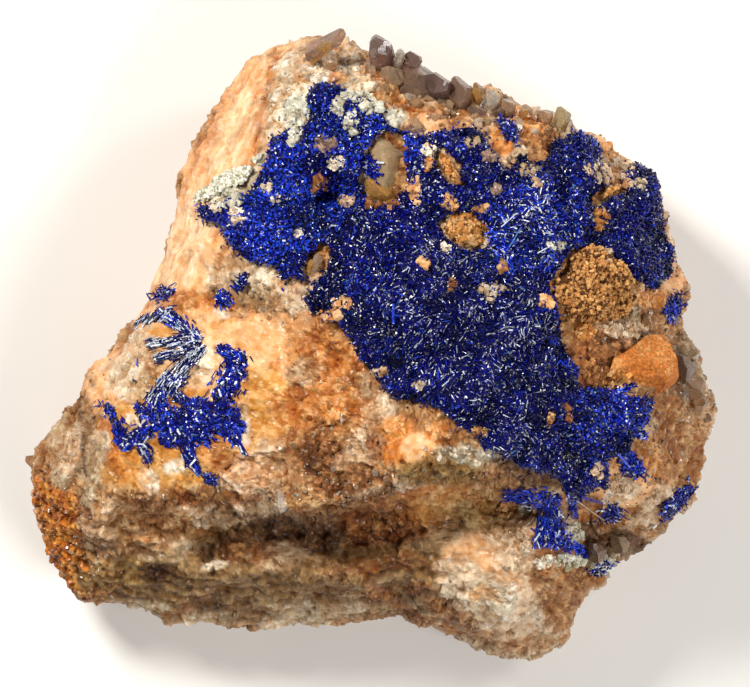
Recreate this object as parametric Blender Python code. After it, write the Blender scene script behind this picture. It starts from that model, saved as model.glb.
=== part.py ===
"""Linarite on quartz matrix: a broken hand specimen that lies on its back, blue crust upwards.

The plan is looked at from above: +X is the right of the display face, +Y its top edge and +Z points
away from the table. The rock is one broken lump with a flat fracture under it. Linarite, limonite and a
pale green crust grow on its skin as thin layers, and quartz crystals and linarite blades stand on it.
Every piece that grows on the rock is a solid of its own and keeps GAP to it.
"""

import math
import random
from itertools import product

import bmesh
import bpy
from mathutils import Matrix, Vector, geometry, noise
from mathutils.bvhtree import BVHTree

# Driving dimensions, in metres. The tables below are in millimetres on the plan, and MM turns them to metres.
MM = 0.001
GAP = 0.3 * MM  # between the rock and what grows on it
SKIN_STEP = 1.52 * MM  # between neighbouring points of the rock's skin
CLOSEST = 0.88  # no two points of the skin are nearer than this share of SKIN_STEP
RIM_STEP = 1.6 * MM
TRIES, SPREAD_X, SPREAD_Y = 16000, 0.7548776662, 0.5698402910  # an even scatter over the plan
LOWEST_SKIN = 0.35 * MM
EDGE_STEP = 0.998  # how a point beside the rock is moved inwards until it lies over it
SWELL_LENGTH, SWELL_HEIGHT = 8.0 * MM, 0.55 * MM  # the broad unevenness of the broken faces
FACET_SIZE, FACET_HEIGHT = 4.2 * MM, 1.7 * MM  # the small flat faces that broken quartz shows
FACET_SPREAD = 7.3  # so that neighbouring facets lean differently
GRIT = 0.1 * MM
BLUNTING = 0.5  # how far each point's roughness gives way to its neighbours'
ROUGH_FROM = 9 * MM  # below this height the sides get smoother towards the flat fracture
STRATA_TOP = -16.5 * MM  # the shaded lower face shows layers below this line
STRATA_PITCH, STRATA_HEIGHT = 2.4 * MM, 0.32 * MM
STRATA_DIP, STRATA_WAVE = 0.6, 0.8  # how they slope, and how far they wave in shares of the pitch
LAYER_INSET = 0.2 * MM  # each layer stops this far inside its outline
CRUST_THICKNESS, SPONGE_THICKNESS = 1.2 * MM, 1.5 * MM
BLOCK_THICKNESS, PALE_CRUST_THICKNESS = 1.2 * MM, 0.6 * MM
CRUST_MEAN, CRUST_LUMPS, CRUST_STEPS, CRUST_THINNEST = 0.85, 0.5, 0.6, 0.4  # in shares of its thickness
LUMP_SIZE = 2.2 * MM
EDGE_THICKNESS = 0.35 * MM
NORMAL_PASSES = 2
EYE_POINTS, EYE_MARGIN = 14, 0.55  # corners of an eye's outline, and what its filling leaves free, in mm
DOME_HEIGHT, DOME_WEAR, DOME_LEAN = 2.9 * MM, 0.55, 12  # wear is the bevel of its half size, lean in degrees
POINT_STEEPNESS = 1.1  # length of a quartz crystal's point, in radii
BLADE_STEP, BLADE_HEIGHT = 2.2 * MM, 1.0 * MM
BLADE_SINK = 1.2 * MM  # how far a blade starts inside the rock before it is cut to its surface
BLADE_TOP, BLADE_FOOT = 0.8, 1.1  # its width above and below, in shares of the stroke's width
TUFT_DENT, TUFT_WANDER = 0.45, 0.25  # how far in the gaps between a tuft's blades reach, and how they wander
CUTTER_MARGIN = 1.1  # the rock that cuts what stands on it grows by this share of GAP
SEED = 11

# The rock's widest outline, clockwise from the top left: x, y and how high above the table it lies.
RIM = [
    (-12.9, 28.6, 14), (-11.2, 29.0, 14), (-9.6, 29.9, 15), (-7.8, 30.2, 15), (-5.6, 30.4, 15),
    (-2.4, 29.8, 15), (-0.2, 29.2, 15), (2.6, 28.6, 15), (5.1, 27.6, 15), (7.2, 26.2, 15), (9.6, 25.6, 14),
    (12.4, 25.2, 14), (14.6, 24.0, 14), (17.1, 23.4, 13), (19.3, 22.9, 13), (20.6, 21.6, 13),
    (22.8, 21.0, 12), (24.8, 19.0, 12), (27.1, 17.2, 13), (28.2, 15.2, 13), (29.4, 11.6, 12),
    (30.2, 8.9, 12), (31.6, 5.9, 12), (31.6, 4.4, 11), (30.5, 2.6, 11), (30.8, 0.8, 11), (32.3, -0.8, 11),
    (33.6, -3.6, 11), (34.4, -5.8, 11), (34.0, -8.1, 10), (33.1, -10.4, 10), (32.8, -12.8, 10),
    (31.6, -15.6, 9), (29.6, -18.4, 9), (27.1, -20.9, 8), (24.1, -22.2, 8), (23.2, -24.0, 8),
    (21.6, -24.6, 8), (20.3, -26.6, 8), (19.7, -29.0, 8), (18.3, -30.4, 8), (15.6, -31.5, 8),
    (12.6, -31.4, 8), (9.1, -30.2, 8), (6.1, -28.3, 8), (2.6, -27.3, 7), (-0.4, -27.6, 7), (-3.9, -28.4, 7),
    (-8.4, -28.3, 7), (-12.9, -28.6, 7), (-16.9, -27.8, 8), (-20.9, -28.4, 8), (-22.6, -27.0, 8),
    (-25.9, -26.1, 8), (-29.4, -25.7, 9), (-31.4, -23.4, 9), (-32.8, -21.1, 9), (-33.4, -18.6, 10),
    (-34.1, -15.1, 10), (-34.4, -11.4, 10), (-32.6, -9.0, 11), (-31.2, -7.2, 11), (-29.8, -5.6, 12),
    (-28.8, -2.8, 12), (-26.6, -0.2, 12), (-24.4, 2.2, 12), (-22.4, 4.4, 12), (-21.8, 6.6, 12),
    (-20.8, 9.8, 12), (-19.8, 13.6, 12), (-19.1, 16.9, 12), (-17.7, 20.9, 12), (-16.0, 23.8, 13),
    (-14.4, 26.4, 13),
]  # fmt: skip

# Spot heights inside the rim: x, y, z.
LEFT_FLANK = [
    (-8.9, 26.9, 23.0), (-9.9, 22.4, 24.5), (-11.2, 17.9, 25.0), (-13.4, 14.9, 24.5), (-16.2, 11.6, 23.5),
    (-17.2, 8.2, 22.5), (-18.4, 5.4, 22.0), (-13.9, 23.4, 19.0), (-15.9, 19.4, 18.5), (-17.9, 14.4, 18.0),
    (-19.4, 10.4, 17.0), (-20.6, 7.4, 17.0),
]  # fmt: skip
TOP_SHELF = [
    (-4.4, 28.2, 21.0), (-0.4, 26.9, 23.0), (-6.4, 24.9, 25.5), (-2.4, 24.4, 26.0), (2.6, 24.9, 25.0),
    (5.6, 23.4, 25.0), (9.6, 23.4, 22.5), (13.6, 21.9, 22.5), (17.6, 21.4, 20.5), (21.6, 18.4, 20.0),
]  # fmt: skip
BLUE_FACE = [
    (-6.4, 21.4, 26.0), (-2.4, 20.4, 26.5), (2.1, 19.4, 26.5), (6.6, 19.4, 27.5), (-7.4, 17.4, 25.5),
    (-4.4, 14.9, 24.0), (-1.4, 14.4, 24.5), (-8.4, 12.9, 25.5), (-11.4, 11.9, 25.5), (-7.4, 8.4, 27.0),
    (-2.4, 9.4, 27.0), (2.6, 11.4, 27.5), (7.6, 14.4, 28.0), (12.6, 17.4, 27.0), (16.6, 18.4, 25.0),
    (21.6, 15.4, 24.0), (26.2, 14.4, 20.0), (27.4, 10.4, 20.0), (22.6, 10.4, 25.0), (16.6, 12.4, 27.5),
    (11.6, 9.4, 29.0), (6.6, 6.4, 29.5), (1.6, 4.4, 29.0), (-3.4, 3.4, 28.0), (0.6, -0.6, 29.5),
    (4.6, -3.6, 30.5), (9.6, 0.4, 31.0), (14.6, 4.4, 30.0), (18.6, 8.4, 28.0), (10.6, -5.6, 31.5),
    (15.6, -3.6, 31.0), (19.6, -5.6, 30.0), (23.6, -7.6, 27.0), (5.6, -5.6, 30.5), (8.6, -9.6, 30.5),
    (13.6, -10.6, 30.5), (18.6, -11.6, 29.0), (22.6, -10.6, 27.0), (26.6, -5.6, 24.0),
]  # fmt: skip
WAIST = [
    (-12.4, 4.4, 25.0), (-15.4, 1.4, 25.0), (-9.4, 1.4, 26.0), (-4.4, -0.6, 27.0), (-7.4, -5.6, 27.5),
    (-2.4, -7.6, 28.5), (3.6, -10.1, 29.5), (0.6, -12.6, 28.5), (-5.4, -12.6, 27.5), (-11.4, -9.6, 26.5),
    (-17.4, -5.6, 25.5), (-22.0, -1.6, 23.0), (-24.8, -2.4, 20.5), (-19.4, 4.4, 23.0), (-23.3, 0.9, 20.0),
    (-21.6, 3.0, 20.5), (-25.4, -1.0, 17.5),
]  # fmt: skip
LEFT_WING = [
    (-22.4, -7.6, 24.0), (-26.4, -7.6, 21.5), (-28.4, -11.6, 20.0), (-25.4, -13.6, 22.0),
    (-20.4, -12.6, 24.5), (-15.4, -12.6, 25.5), (-12.4, -14.6, 25.5), (-31.0, -10.6, 15.5),
    (-32.2, -15.6, 14.5), (-29.9, -18.6, 16.0), (-27.4, -17.6, 20.0), (-31.2, -21.4, 12.5),
]  # fmt: skip
LEDGE = [
    (-25.4, -16.1, 21.5), (-19.4, -15.9, 23.5), (-13.4, -16.1, 25.0), (-7.4, -16.2, 26.5),
    (-2.4, -15.6, 27.5), (2.6, -14.1, 28.5), (6.6, -13.4, 28.5), (10.6, -12.8, 29.0), (15.6, -13.9, 28.5),
    (18.6, -14.8, 27.5),
]  # fmt: skip
RECESS = [
    (-24.4, -18.4, 16.5), (-17.4, -18.0, 17.0), (-11.4, -18.0, 17.0), (-6.4, -18.4, 17.5),
    (-1.4, -18.2, 18.5), (2.6, -17.0, 20.5), (6.6, -16.0, 21.5), (9.6, -15.4, 21.0), (13.6, -16.2, 19.5),
    (17.1, -16.6, 20.5),
]  # fmt: skip
LOWER_FACE = [
    (-24.4, -22.6, 15.0), (-18.4, -22.6, 16.5), (-12.4, -22.6, 17.0), (-6.4, -22.6, 17.0),
    (-1.4, -23.1, 17.0), (3.6, -22.6, 18.5), (7.6, -21.6, 20.0), (11.7, -20.6, 21.0), (14.6, -24.6, 19.0),
    (10.6, -25.6, 18.0), (17.6, -26.6, 15.0), (6.6, -25.6, 15.5), (18.6, -21.6, 18.0), (21.2, -22.4, 13.5),
    (-22.4, -25.6, 11.0), (-16.4, -26.1, 11.5), (-10.4, -26.4, 11.5), (-4.4, -26.4, 11.0),
    (1.6, -25.4, 12.0), (12.6, -29.4, 12.5), (16.4, -29.2, 11.5), (-28.2, -23.6, 12.0),
]  # fmt: skip
RIGHT_SIDE = [
    (17.6, -17.6, 21.0), (20.6, -17.6, 17.0), (22.6, -15.6, 21.0), (24.6, -18.2, 16.0), (21.6, -20.1, 14.0),
    (26.4, -18.9, 13.0), (18.6, -19.6, 20.0), (22.6, -12.6, 24.0), (27.6, -14.6, 20.0), (30.4, -13.8, 14.5),
    (26.6, -10.6, 24.0), (30.4, -8.6, 18.5), (32.3, -5.6, 15.0), (28.6, -3.6, 22.5), (31.2, -2.8, 16.5),
    (24.6, 0.4, 25.0), (28.2, 0.4, 20.5), (21.6, 3.4, 27.0), (25.6, 4.4, 23.5), (29.0, 4.6, 17.5),
    (21.6, 6.4, 28.0), (26.6, 7.4, 23.5), (29.0, 8.0, 17.0),
]  # fmt: skip
SPOT_HEIGHTS = [
    *LEFT_FLANK, *TOP_SHELF, *BLUE_FACE, *WAIST, *LEFT_WING, *LEDGE, *RECESS, *LOWER_FACE, *RIGHT_SIDE,
]  # fmt: skip

# Pits and crevices, and small knobs where the depth is negative: x, y, half length, half width, turn, depth.
PITS = [
    (-16.6, -20.9, 1.5, 1.1, 0, 2.0), (-12.0, -24.2, 1.0, 0.8, 0, 0.8), (-4.9, 14.8, 2.6, 1.4, -10, 1.8),
    (21.8, -18.9, 2.6, 0.9, -60, 1.8), (25.8, -19.6, 2.4, 0.9, -25, 1.6), (26.5, -1.0, 0.9, 2.6, 10, 1.2),
    (-29.2, -13.4, 0.7, 4.4, 8, 1.1), (13.0, -16.0, 3.4, 1.1, -8, 1.5), (7.8, 24.4, 0.9, 1.8, 10, 1.2),
    (3.9, -10.2, 2.6, 2.3, 0, -1.5), (27.4, -2.2, 2.1, 3.2, 8, -1.7), (-0.9, -22.4, 4.5, 1.4, 4, -0.8),
    (17.4, 23.0, 2.2, 1.2, -15, -1.0), (12.2, -24.4, 5.0, 2.8, 20, -1.0),
    (-24.9, -10.2, 3.0, 2.2, 20, -0.6),
]  # fmt: skip

# The under side, as rings inside the rim: share of the rim's reach, and share of its height.
UNDER_RINGS = [(0.985, 0.62), (0.94, 0.28), (0.875, 0.0)]

# Outlines of what grows on the rock as a layer: x, y, clockwise.
BLUE_OUTLINE = [
    (-17.0, 13.2), (-14.2, 14.0), (-12.6, 15.0), (-11.6, 17.0), (-10.4, 17.9), (-10.0, 20.2), (-8.4, 21.4),
    (-6.4, 21.8), (-6.6, 24.6), (-5.4, 25.4), (-3.2, 24.8), (-1.2, 23.9), (0.6, 23.6), (1.4, 21.8),
    (3.4, 20.9), (4.8, 20.3), (6.6, 20.9), (8.8, 20.8), (10.4, 20.6), (11.5, 18.6), (13.2, 17.2),
    (14.4, 18.8), (15.6, 18.0), (17.0, 18.3), (17.4, 19.8), (19.8, 20.6), (21.6, 19.8), (22.4, 18.8),
    (21.4, 17.9), (23.2, 16.6), (22.8, 15.6), (24.9, 16.4), (25.8, 17.6), (27.4, 16.8), (28.0, 14.6),
    (28.3, 12.0), (29.2, 9.2), (29.6, 7.2), (28.4, 6.0), (27.4, 5.2), (26.2, 6.2), (24.6, 6.6), (23.0, 8.4),
    (21.6, 9.9), (19.4, 9.2), (18.4, 7.4), (17.2, 6.4), (17.2, 4.8), (18.4, 2.2), (18.6, 0.6), (20.0, -2.0),
    (20.3, -4.2), (23.4, -4.3), (25.2, -5.6), (27.3, -5.9), (26.6, -7.6), (25.4, -9.6), (25.2, -10.6),
    (23.0, -11.2), (22.6, -13.0), (20.0, -15.2), (17.4, -12.9), (14.8, -12.0), (12.4, -10.9), (10.4, -9.4),
    (8.2, -8.0), (6.4, -6.4), (4.6, -5.9), (2.2, -5.6), (0.2, -3.6), (-1.2, -1.8), (-2.8, 1.4), (-4.6, 2.4),
    (-6.2, 2.9), (-7.0, 4.4), (-6.0, 6.0), (-7.8, 6.6), (-9.0, 6.2), (-10.2, 7.8), (-12.6, 8.2),
    (-14.2, 10.0), (-15.0, 11.6),
]  # fmt: skip
SPONGE_OUTLINE = [
    (21.4, 9.4), (23.4, 8.0), (25.0, 6.2), (25.4, 4.4), (24.4, 2.8), (21.8, 2.4), (19.6, 3.0), (17.7, 4.6),
    (17.8, 6.2), (19.2, 6.9), (19.6, 8.6),
]  # fmt: skip
OCHRE_BLOCK_OUTLINE = [
    (24.8, -0.6), (26.6, 0.9), (28.4, 1.0), (29.4, -1.6), (29.6, -3.9), (27.6, -5.2), (25.4, -4.4),
    (23.4, -3.2), (22.6, -1.8),
]  # fmt: skip
PALE_CRUST_OUTLINE = [
    (-17.4, 13.9), (-14.2, 14.8), (-13.0, 15.9), (-12.0, 17.6), (-13.2, 17.6), (-15.4, 16.4), (-17.2, 14.9),
]  # fmt: skip

# Holes in the blue crust where other minerals show: x, y, half length, half width, turn in degrees.
QUARTZ_EYE = (1.2, 17.2, 3.7, 2.7, 82)
LENS_EYE = (-5.7, 8.1, 2.2, 1.0, 65)
OCHRE_KNOB_EYE = (9.0, 11.1, 2.5, 1.7, -25)
OCHRE_RIBBON_EYE = (7.5, 17.4, 2.2, 0.95, -58)
RIGHT_RIBBON_EYE = (23.2, 15.0, 2.0, 0.7, 35)
EYES = (QUARTZ_EYE, LENS_EYE, OCHRE_KNOB_EYE, OCHRE_RIBBON_EYE, RIGHT_RIBBON_EYE)

# Quartz crystals: foot x, y, z, tip x, y, z, radius, flattening, turn.
QUARTZ_CROWN = [
    (1.6, 27.0, 21.5, 0.5, 30.5, 26.0, 2.0, 1.0, 10), (4.4, 26.2, 21.0, 5.2, 28.9, 26.4, 2.1, 0.9, 25),
    (2.4, 27.4, 20.5, 3.5, 29.5, 24.6, 1.5, 1.0, 40), (6.4, 24.8, 21.5, 6.9, 27.6, 26.8, 2.1, 0.85, 5),
    (8.6, 24.0, 19.5, 9.0, 27.0, 25.5, 1.8, 1.0, 35),
]  # fmt: skip
QUARTZ_PLATE = [(-5.4, 27.0, 22.0, -1.9, 31.5, 25.2, 1.5, 0.6, 0)]
QUARTZ_SHOULDER = [
    (11.6, 23.4, 18.5, 12.6, 25.9, 24.0, 1.5, 1.0, 15), (14.0, 22.2, 18.0, 14.6, 24.8, 23.2, 1.4, 1.0, 45),
]  # fmt: skip
QUARTZ_GREEN = [(17.4, 21.0, 17.5, 19.0, 23.9, 22.2, 1.5, 0.9, 20)]
QUARTZ_LEDGE_POINT = [(-8.0, -14.4, 24.0, -9.7, -17.0, 27.4, 1.5, 1.0, 10)]
QUARTZ_LEDGE = [
    (-6.9, -14.6, 24.0, -7.0, -16.4, 28.0, 1.3, 1.0, 0),
    (-5.4, -14.4, 24.6, -4.6, -16.4, 28.4, 1.3, 0.9, 50),
]  # fmt: skip
QUARTZ_RIGHT = [
    (30.4, -1.8, 13.0, 32.4, -2.8, 20.6, 1.8, 0.9, 10), (31.0, -3.6, 12.0, 33.0, -4.8, 18.8, 1.8, 1.0, 40),
]  # fmt: skip
QUARTZ_NOTCH = [
    (22.6, -20.2, 11.6, 22.4, -21.0, 17.4, 1.3, 1.0, 20),
    (24.2, -19.4, 11.0, 24.8, -20.2, 16.6, 1.2, 1.0, 0),
]  # fmt: skip

# The linarite spray on the left wing: flat blades, start x, y, end x, y, width at start and at end.
SPRAY_BLADES = [
    (-23.6, 2.1, -23.8, -3.6, 0.62, 0.30), (-23.7, 2.0, -19.8, 3.2, 0.8, 1.3),
    (-21.6, 3.4, -18.8, 1.6, 1.1, 1.7), (-19.4, 2.4, -17.6, 0.2, 1.6, 1.8),
    (-17.4, 0.4, -22.4, 0.0, 1.6, 1.1), (-17.6, -0.4, -21.6, -1.4, 1.7, 1.0),
    (-17.3, -0.2, -20.6, -4.8, 1.7, 2.0), (-20.2, -3.0, -22.0, -5.6, 1.6, 1.7),
    (-20.3, -3.6, -18.6, -3.4, 1.2, 0.8), (-21.6, -4.6, -20.6, -8.2, 1.9, 2.0),
    (-23.7, -6.4, -20.4, -7.6, 1.2, 1.9), (-20.2, -4.6, -17.6, -6.8, 0.9, 1.7),
    (-17.6, -5.4, -17.2, -8.6, 1.5, 2.8), (-21.0, -7.6, -13.4, -7.8, 2.0, 3.4),
    (-15.6, -6.4, -13.9, -2.0, 2.2, 2.2), (-14.8, -0.6, -13.2, -1.8, 1.1, 2.0),
    (-13.2, -1.0, -13.9, -4.6, 1.6, 1.4), (-15.4, -0.3, -14.0, -1.2, 0.9, 1.3),
    (-15.2, -7.6, -12.9, -8.4, 3.0, 0.9), (-14.6, -8.4, -13.4, -9.6, 1.4, 1.6),
    (-13.9, -9.0, -12.8, -11.0, 0.9, 0.5), (-20.6, -7.6, -25.2, -10.0, 2.0, 1.4),
    (-25.6, -7.6, -24.8, -10.2, 1.4, 1.6), (-23.4, -9.2, -22.2, -11.6, 1.6, 1.0),
    (-18.6, -8.2, -18.2, -11.8, 2.4, 1.2), (-18.4, -11.0, -17.4, -12.8, 1.1, 0.9),
    (-20.6, -8.6, -20.3, -9.9, 1.4, 0.9),
]  # fmt: skip

# Small separate groups of linarite blades: name, x, y, reach, number of blades.
TUFTS = [
    ("linarite_tuft_left_edge", -20.6, 4.9, 1.1, 4),
    ("linarite_tuft_upper_left", -14.9, 4.4, 0.9, 4),
    ("linarite_tuft_grey_quartz", -13.1, 6.1, 0.8, 3),
    ("linarite_tuft_wing", -26.2, -6.7, 0.7, 3),
    ("linarite_tuft_wing_foot", -16.2, -13.4, 0.7, 3),
    ("linarite_tuft_top_shelf", 13.3, 21.2, 1.3, 5),
    ("linarite_tuft_right_edge", 29.3, 3.6, 1.4, 5),
    ("linarite_tuft_pointed", 25.6, -12.3, 1.3, 4),
    ("linarite_tuft_lower_right", 30.0, -15.4, 1.5, 6),
    ("linarite_tuft_notch", 23.9, -16.7, 1.1, 4),
    ("linarite_tuft_foot", 22.4, -22.1, 1.0, 4),
]
LOWER_TAIL = [
    (17.6, -15.4, 18.0, -20.4, 2.2, 2.4), (17.2, -15.4, 12.9, -14.9, 1.8, 1.2),
    (18.0, -19.6, 19.4, -20.4, 1.4, 1.0), (16.8, -17.4, 16.2, -20.6, 1.4, 1.2),
]  # fmt: skip

COLOURS = {
    "matrix": (0.72, 0.46, 0.24, 1.0),
    "linarite": (0.012, 0.02, 0.22, 1.0),
    "limonite": (0.55, 0.22, 0.05, 1.0),
    "pale_green": (0.66, 0.68, 0.54, 1.0),
    "quartz": (0.42, 0.34, 0.28, 1.0),
}


def clear_scene():
    for obj in list(bpy.data.objects):
        bpy.data.objects.remove(obj)


def material(name):
    found = bpy.data.materials.get(name)
    if found:
        return found
    made = bpy.data.materials.new(name)
    made.use_nodes = True
    shader = made.node_tree.nodes["Principled BSDF"]
    shader.inputs["Base Color"].default_value = COLOURS[name]
    shader.inputs["Roughness"].default_value = 0.3 if name in ("linarite", "quartz") else 0.75
    shader.inputs["Metallic"].default_value = 0.0
    return made


def node_from(name, bm, finish):
    """A named object with the shape that bm holds."""
    mesh = bpy.data.meshes.new(name)
    bm.to_mesh(mesh)
    bm.free()
    mesh.materials.append(material(finish))
    obj = bpy.data.objects.new(name, mesh)
    bpy.context.scene.collection.objects.link(obj)
    return obj


def outline_of(table):
    return [Vector((row[0], row[1])) * MM for row in table]


def eye_outline(x, y, half_length, half_width, turn):
    """An oval in the plan, for a mineral that shows through the crust."""
    along = math.radians(turn)
    points = []
    for k in range(EYE_POINTS):
        a = -2 * math.pi * k / EYE_POINTS
        u, v = half_length * math.cos(a), half_width * math.sin(a)
        away = Vector((u, v))
        away.rotate(Matrix.Rotation(along, 2))
        points.append((Vector((x, y)) + away) * MM)
    return points


def inside(point, outline):
    """Whether a plan point lies inside a closed outline, by counting crossings."""
    crossed = False
    for a, b in zip(outline, outline[1:] + outline[:1]):
        if (a.y > point.y) != (b.y > point.y):
            if point.x < a.x + (point.y - a.y) / (b.y - a.y) * (b.x - a.x):
                crossed = not crossed
    return crossed


def finer(outline, step):
    """The outline with points added so that none of its sides is longer than step."""
    points = []
    for a, b in zip(outline, outline[1:] + outline[:1]):
        pieces = max(1, math.ceil((b - a).length / step))
        points += [a.lerp(b, k / pieces) for k in range(pieces)]
    return points


def plan_key(point):
    return round(point.x, 6), round(point.y, 6)


def smooth_relief():
    """The rim and the spot heights joined by flat triangles."""
    spots = [Vector(row) * MM for row in RIM + SPOT_HEIGHTS]
    heights = {plan_key(spot): spot.z for spot in spots}
    rim = list(range(len(RIM)))
    plan, _, triangles, *_ = geometry.delaunay_2d_cdt([s.to_2d() for s in spots], [], [rim], 1, 1e-7)
    return BVHTree.FromPolygons([Vector((p.x, p.y, heights[plan_key(p)])) for p in plan], triangles)


def height_over(tree, x, y):
    """The height of a surface over the table at a point of the plan, or just inside its edge."""
    hit = None
    while hit is None:
        hit = tree.ray_cast(Vector((x, y, 1.0)), Vector((0, 0, -1)))[0]
        x, y = x * EDGE_STEP, y * EDGE_STEP
    return hit.z


def relief_height(relief, x, y):
    return height_over(relief, x, y) - pit_depth(x, y)


def pit_depth(x, y):
    depth = 0.0
    for px, py, half_length, half_width, turn, deep in PITS:
        offset = Vector((x / MM - px, y / MM - py))
        offset.rotate(Matrix.Rotation(-math.radians(turn), 2))
        reach = math.hypot(offset.x / half_length, offset.y / half_width)
        depth += deep * MM * math.exp(-(reach**3))
    return depth


def skin_points(relief, rim, fixed):
    """Plan points spread so that neighbours on the sloping skin lie about SKIN_STEP apart."""
    taken = {}

    def cell(point):
        return tuple(math.floor(c / SKIN_STEP) for c in point)

    def near(point):
        home = cell(point)
        for step in product((-1, 0, 1), repeat=3):
            key = tuple(h + s for h, s in zip(home, step))
            if any((other - point).length < CLOSEST * SKIN_STEP for other in taken.get(key, ())):
                return True
        return False

    for p in fixed:
        point = Vector((p.x, p.y, relief_height(relief, p.x, p.y)))
        taken.setdefault(cell(point), []).append(point)
    low = Vector((min(p.x for p in rim), min(p.y for p in rim)))
    high = Vector((max(p.x for p in rim), max(p.y for p in rim)))
    chosen = []
    for n in range(1, TRIES):
        x = low.x + (high.x - low.x) * (n * SPREAD_X % 1)
        y = low.y + (high.y - low.y) * (n * SPREAD_Y % 1)
        if inside(Vector((x, y)), rim):
            point = Vector((x, y, relief_height(relief, x, y)))
            if not near(point):
                taken.setdefault(cell(point), []).append(point)
                chosen.append(point.to_2d())
    return chosen


def roughness(point, normal):
    """How far a point of the skin stands out of the smooth relief."""
    swell = noise.fractal(point / SWELL_LENGTH, 1.0, 2.0, 3) * SWELL_HEIGHT
    seed = noise.voronoi(point / FACET_SIZE)[1][0]
    lean = noise.cell_vector(seed * FACET_SPREAD) - Vector((0.5, 0.5, 0.5))
    flats = (point / FACET_SIZE - seed).dot(lean) * FACET_HEIGHT
    strata = 0.0
    if point.y < STRATA_TOP:
        wave = noise.noise(point / SWELL_LENGTH) * STRATA_WAVE
        level = (point.y * STRATA_DIP + point.z) / STRATA_PITCH + wave
        strata = (abs(level % 1 - 0.5) * 2) ** 2 * STRATA_HEIGHT * max(0.0, normal.z)
    return swell + flats + strata + noise.noise(point / SKIN_STEP) * GRIT


def rock(relief, rim, outlines):
    """The rock as one closed bmesh: its skin over the plan, its sides as rings, and a flat fracture below.
    The face layer "region" holds 1 + the number of the last outline that a face lies in, or 0."""
    fixed = list(rim)
    edges = [(k, (k + 1) % len(rim)) for k in range(len(rim))]
    for outline in outlines:
        start = len(fixed)
        fixed += outline
        edges += [(start + k, start + (k + 1) % len(outline)) for k in range(len(outline))]
    points = fixed + skin_points(relief, rim, fixed)
    plan, _, triangles, *_ = geometry.delaunay_2d_cdt(points, edges, [list(range(len(rim)))], 1, 1e-7)
    bm = bmesh.new()
    region = bm.faces.layers.int.new("region")
    verts = [bm.verts.new((p.x, p.y, relief_height(relief, p.x, p.y))) for p in plan]
    for triangle in triangles:
        face = bm.faces.new([verts[k] for k in triangle])
        centre = sum((plan[k] for k in triangle), Vector((0, 0))) / 3
        for number, outline in enumerate(outlines, 1):
            if inside(centre, outline):
                face[region] = number
    ring = boundary_loop(bm)
    rim_points = [v.co.copy() for v in ring]
    for reach, share in UNDER_RINGS:
        lower = [bm.verts.new((p.x * reach, p.y * reach, p.z * share)) for p in rim_points]
        for k, v in enumerate(ring):
            following = (k + 1) % len(ring)
            bm.faces.new((v, lower[k], lower[following], ring[following]))
        ring = lower
    bm.faces.new(ring)
    bmesh.ops.recalc_face_normals(bm, faces=bm.faces)
    bm.normal_update()
    base = set(ring)
    height = {v: roughness(v.co, v.normal) for v in bm.verts}
    for v in set(bm.verts) - base:
        around = [height[e.other_vert(v)] for e in v.link_edges]
        blunted = height[v] * (1 - BLUNTING) + BLUNTING * sum(around) / len(around)
        v.co += v.normal * blunted * min(1.0, v.co.z / ROUGH_FROM)
        v.co.z = max(v.co.z, LOWEST_SKIN)
    for v in base:
        wander = noise.noise(v.co / SWELL_LENGTH * 2) * SWELL_HEIGHT
        v.co += v.co.normalized() * wander
    bmesh.ops.triangulate(bm, faces=[f for f in bm.faces if len(f.verts) > 3])
    bm.normal_update()
    return bm


def boundary_loop(bm):
    """The open edge of a sheet as a row of neighbouring vertices."""
    open_edges = [e for e in bm.edges if e.is_boundary]
    start = open_edges[0].verts[0]
    loop, before = [start], None
    while True:
        here = loop[-1]
        following = [e.other_vert(here) for e in here.link_edges if e.is_boundary]
        step = next(v for v in following if v is not before)
        if step is start:
            return loop
        before = here
        loop.append(step)


def layer(name, rock_bm, numbers, finish, thickness):
    """A crust that grows on the rock's faces of the given regions: it follows the skin and swells above."""
    region = rock_bm.faces.layers.int["region"]
    faces = [f for f in rock_bm.faces if f[region] in numbers]
    skin = {v for f in faces for v in f.verts}
    normals = {v: v.normal.copy() for v in rock_bm.verts}
    for _ in range(NORMAL_PASSES):
        around = {v: sum((normals[e.other_vert(v)] for e in v.link_edges), Vector()) for v in normals}
        normals = {v: (normals[v] + around[v]).normalized() for v in normals}
    chosen = set(faces)
    bm = bmesh.new()
    under, over = {}, {}
    for v in sorted(skin, key=lambda v: v.index):
        outer = not all(f in chosen for f in v.link_faces)
        foot = v.co.copy()
        if outer:
            inward = sum((f.calc_center_median() - v.co for f in v.link_faces if f in chosen), Vector())
            foot += inward.normalized() * LAYER_INSET
        lumps = CRUST_LUMPS * noise.noise(v.co / LUMP_SIZE)
        lumps += CRUST_STEPS * (noise.cell(v.co / SKIN_STEP) - 0.5)
        swell = EDGE_THICKNESS if outer else thickness * max(CRUST_THINNEST, CRUST_MEAN + lumps)
        under[v] = bm.verts.new(foot + normals[v] * GAP)
        over[v] = bm.verts.new(foot + normals[v] * (GAP + swell))
    for f in faces:
        bm.faces.new([over[v] for v in f.verts])
        bm.faces.new([under[v] for v in reversed(f.verts)])
        for loop in f.loops:
            if loop.link_loop_radial_next.face not in chosen:
                a, b = loop.vert, loop.link_loop_next.vert
                bm.faces.new((under[a], under[b], over[b], over[a]))
    bmesh.ops.triangulate(bm, faces=[f for f in bm.faces if len(f.verts) > 3])
    bmesh.ops.recalc_face_normals(bm, faces=bm.faces)
    return node_from(name, bm, finish)


def cut_to_rock(obj, cutter):
    """Joins the parts of obj that overlap and takes away what lies within GAP of the rock."""
    cut = obj.modifiers.new("cut to rock", "BOOLEAN")
    cut.operation = "DIFFERENCE"
    cut.object = cutter
    cut.use_self = True


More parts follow.
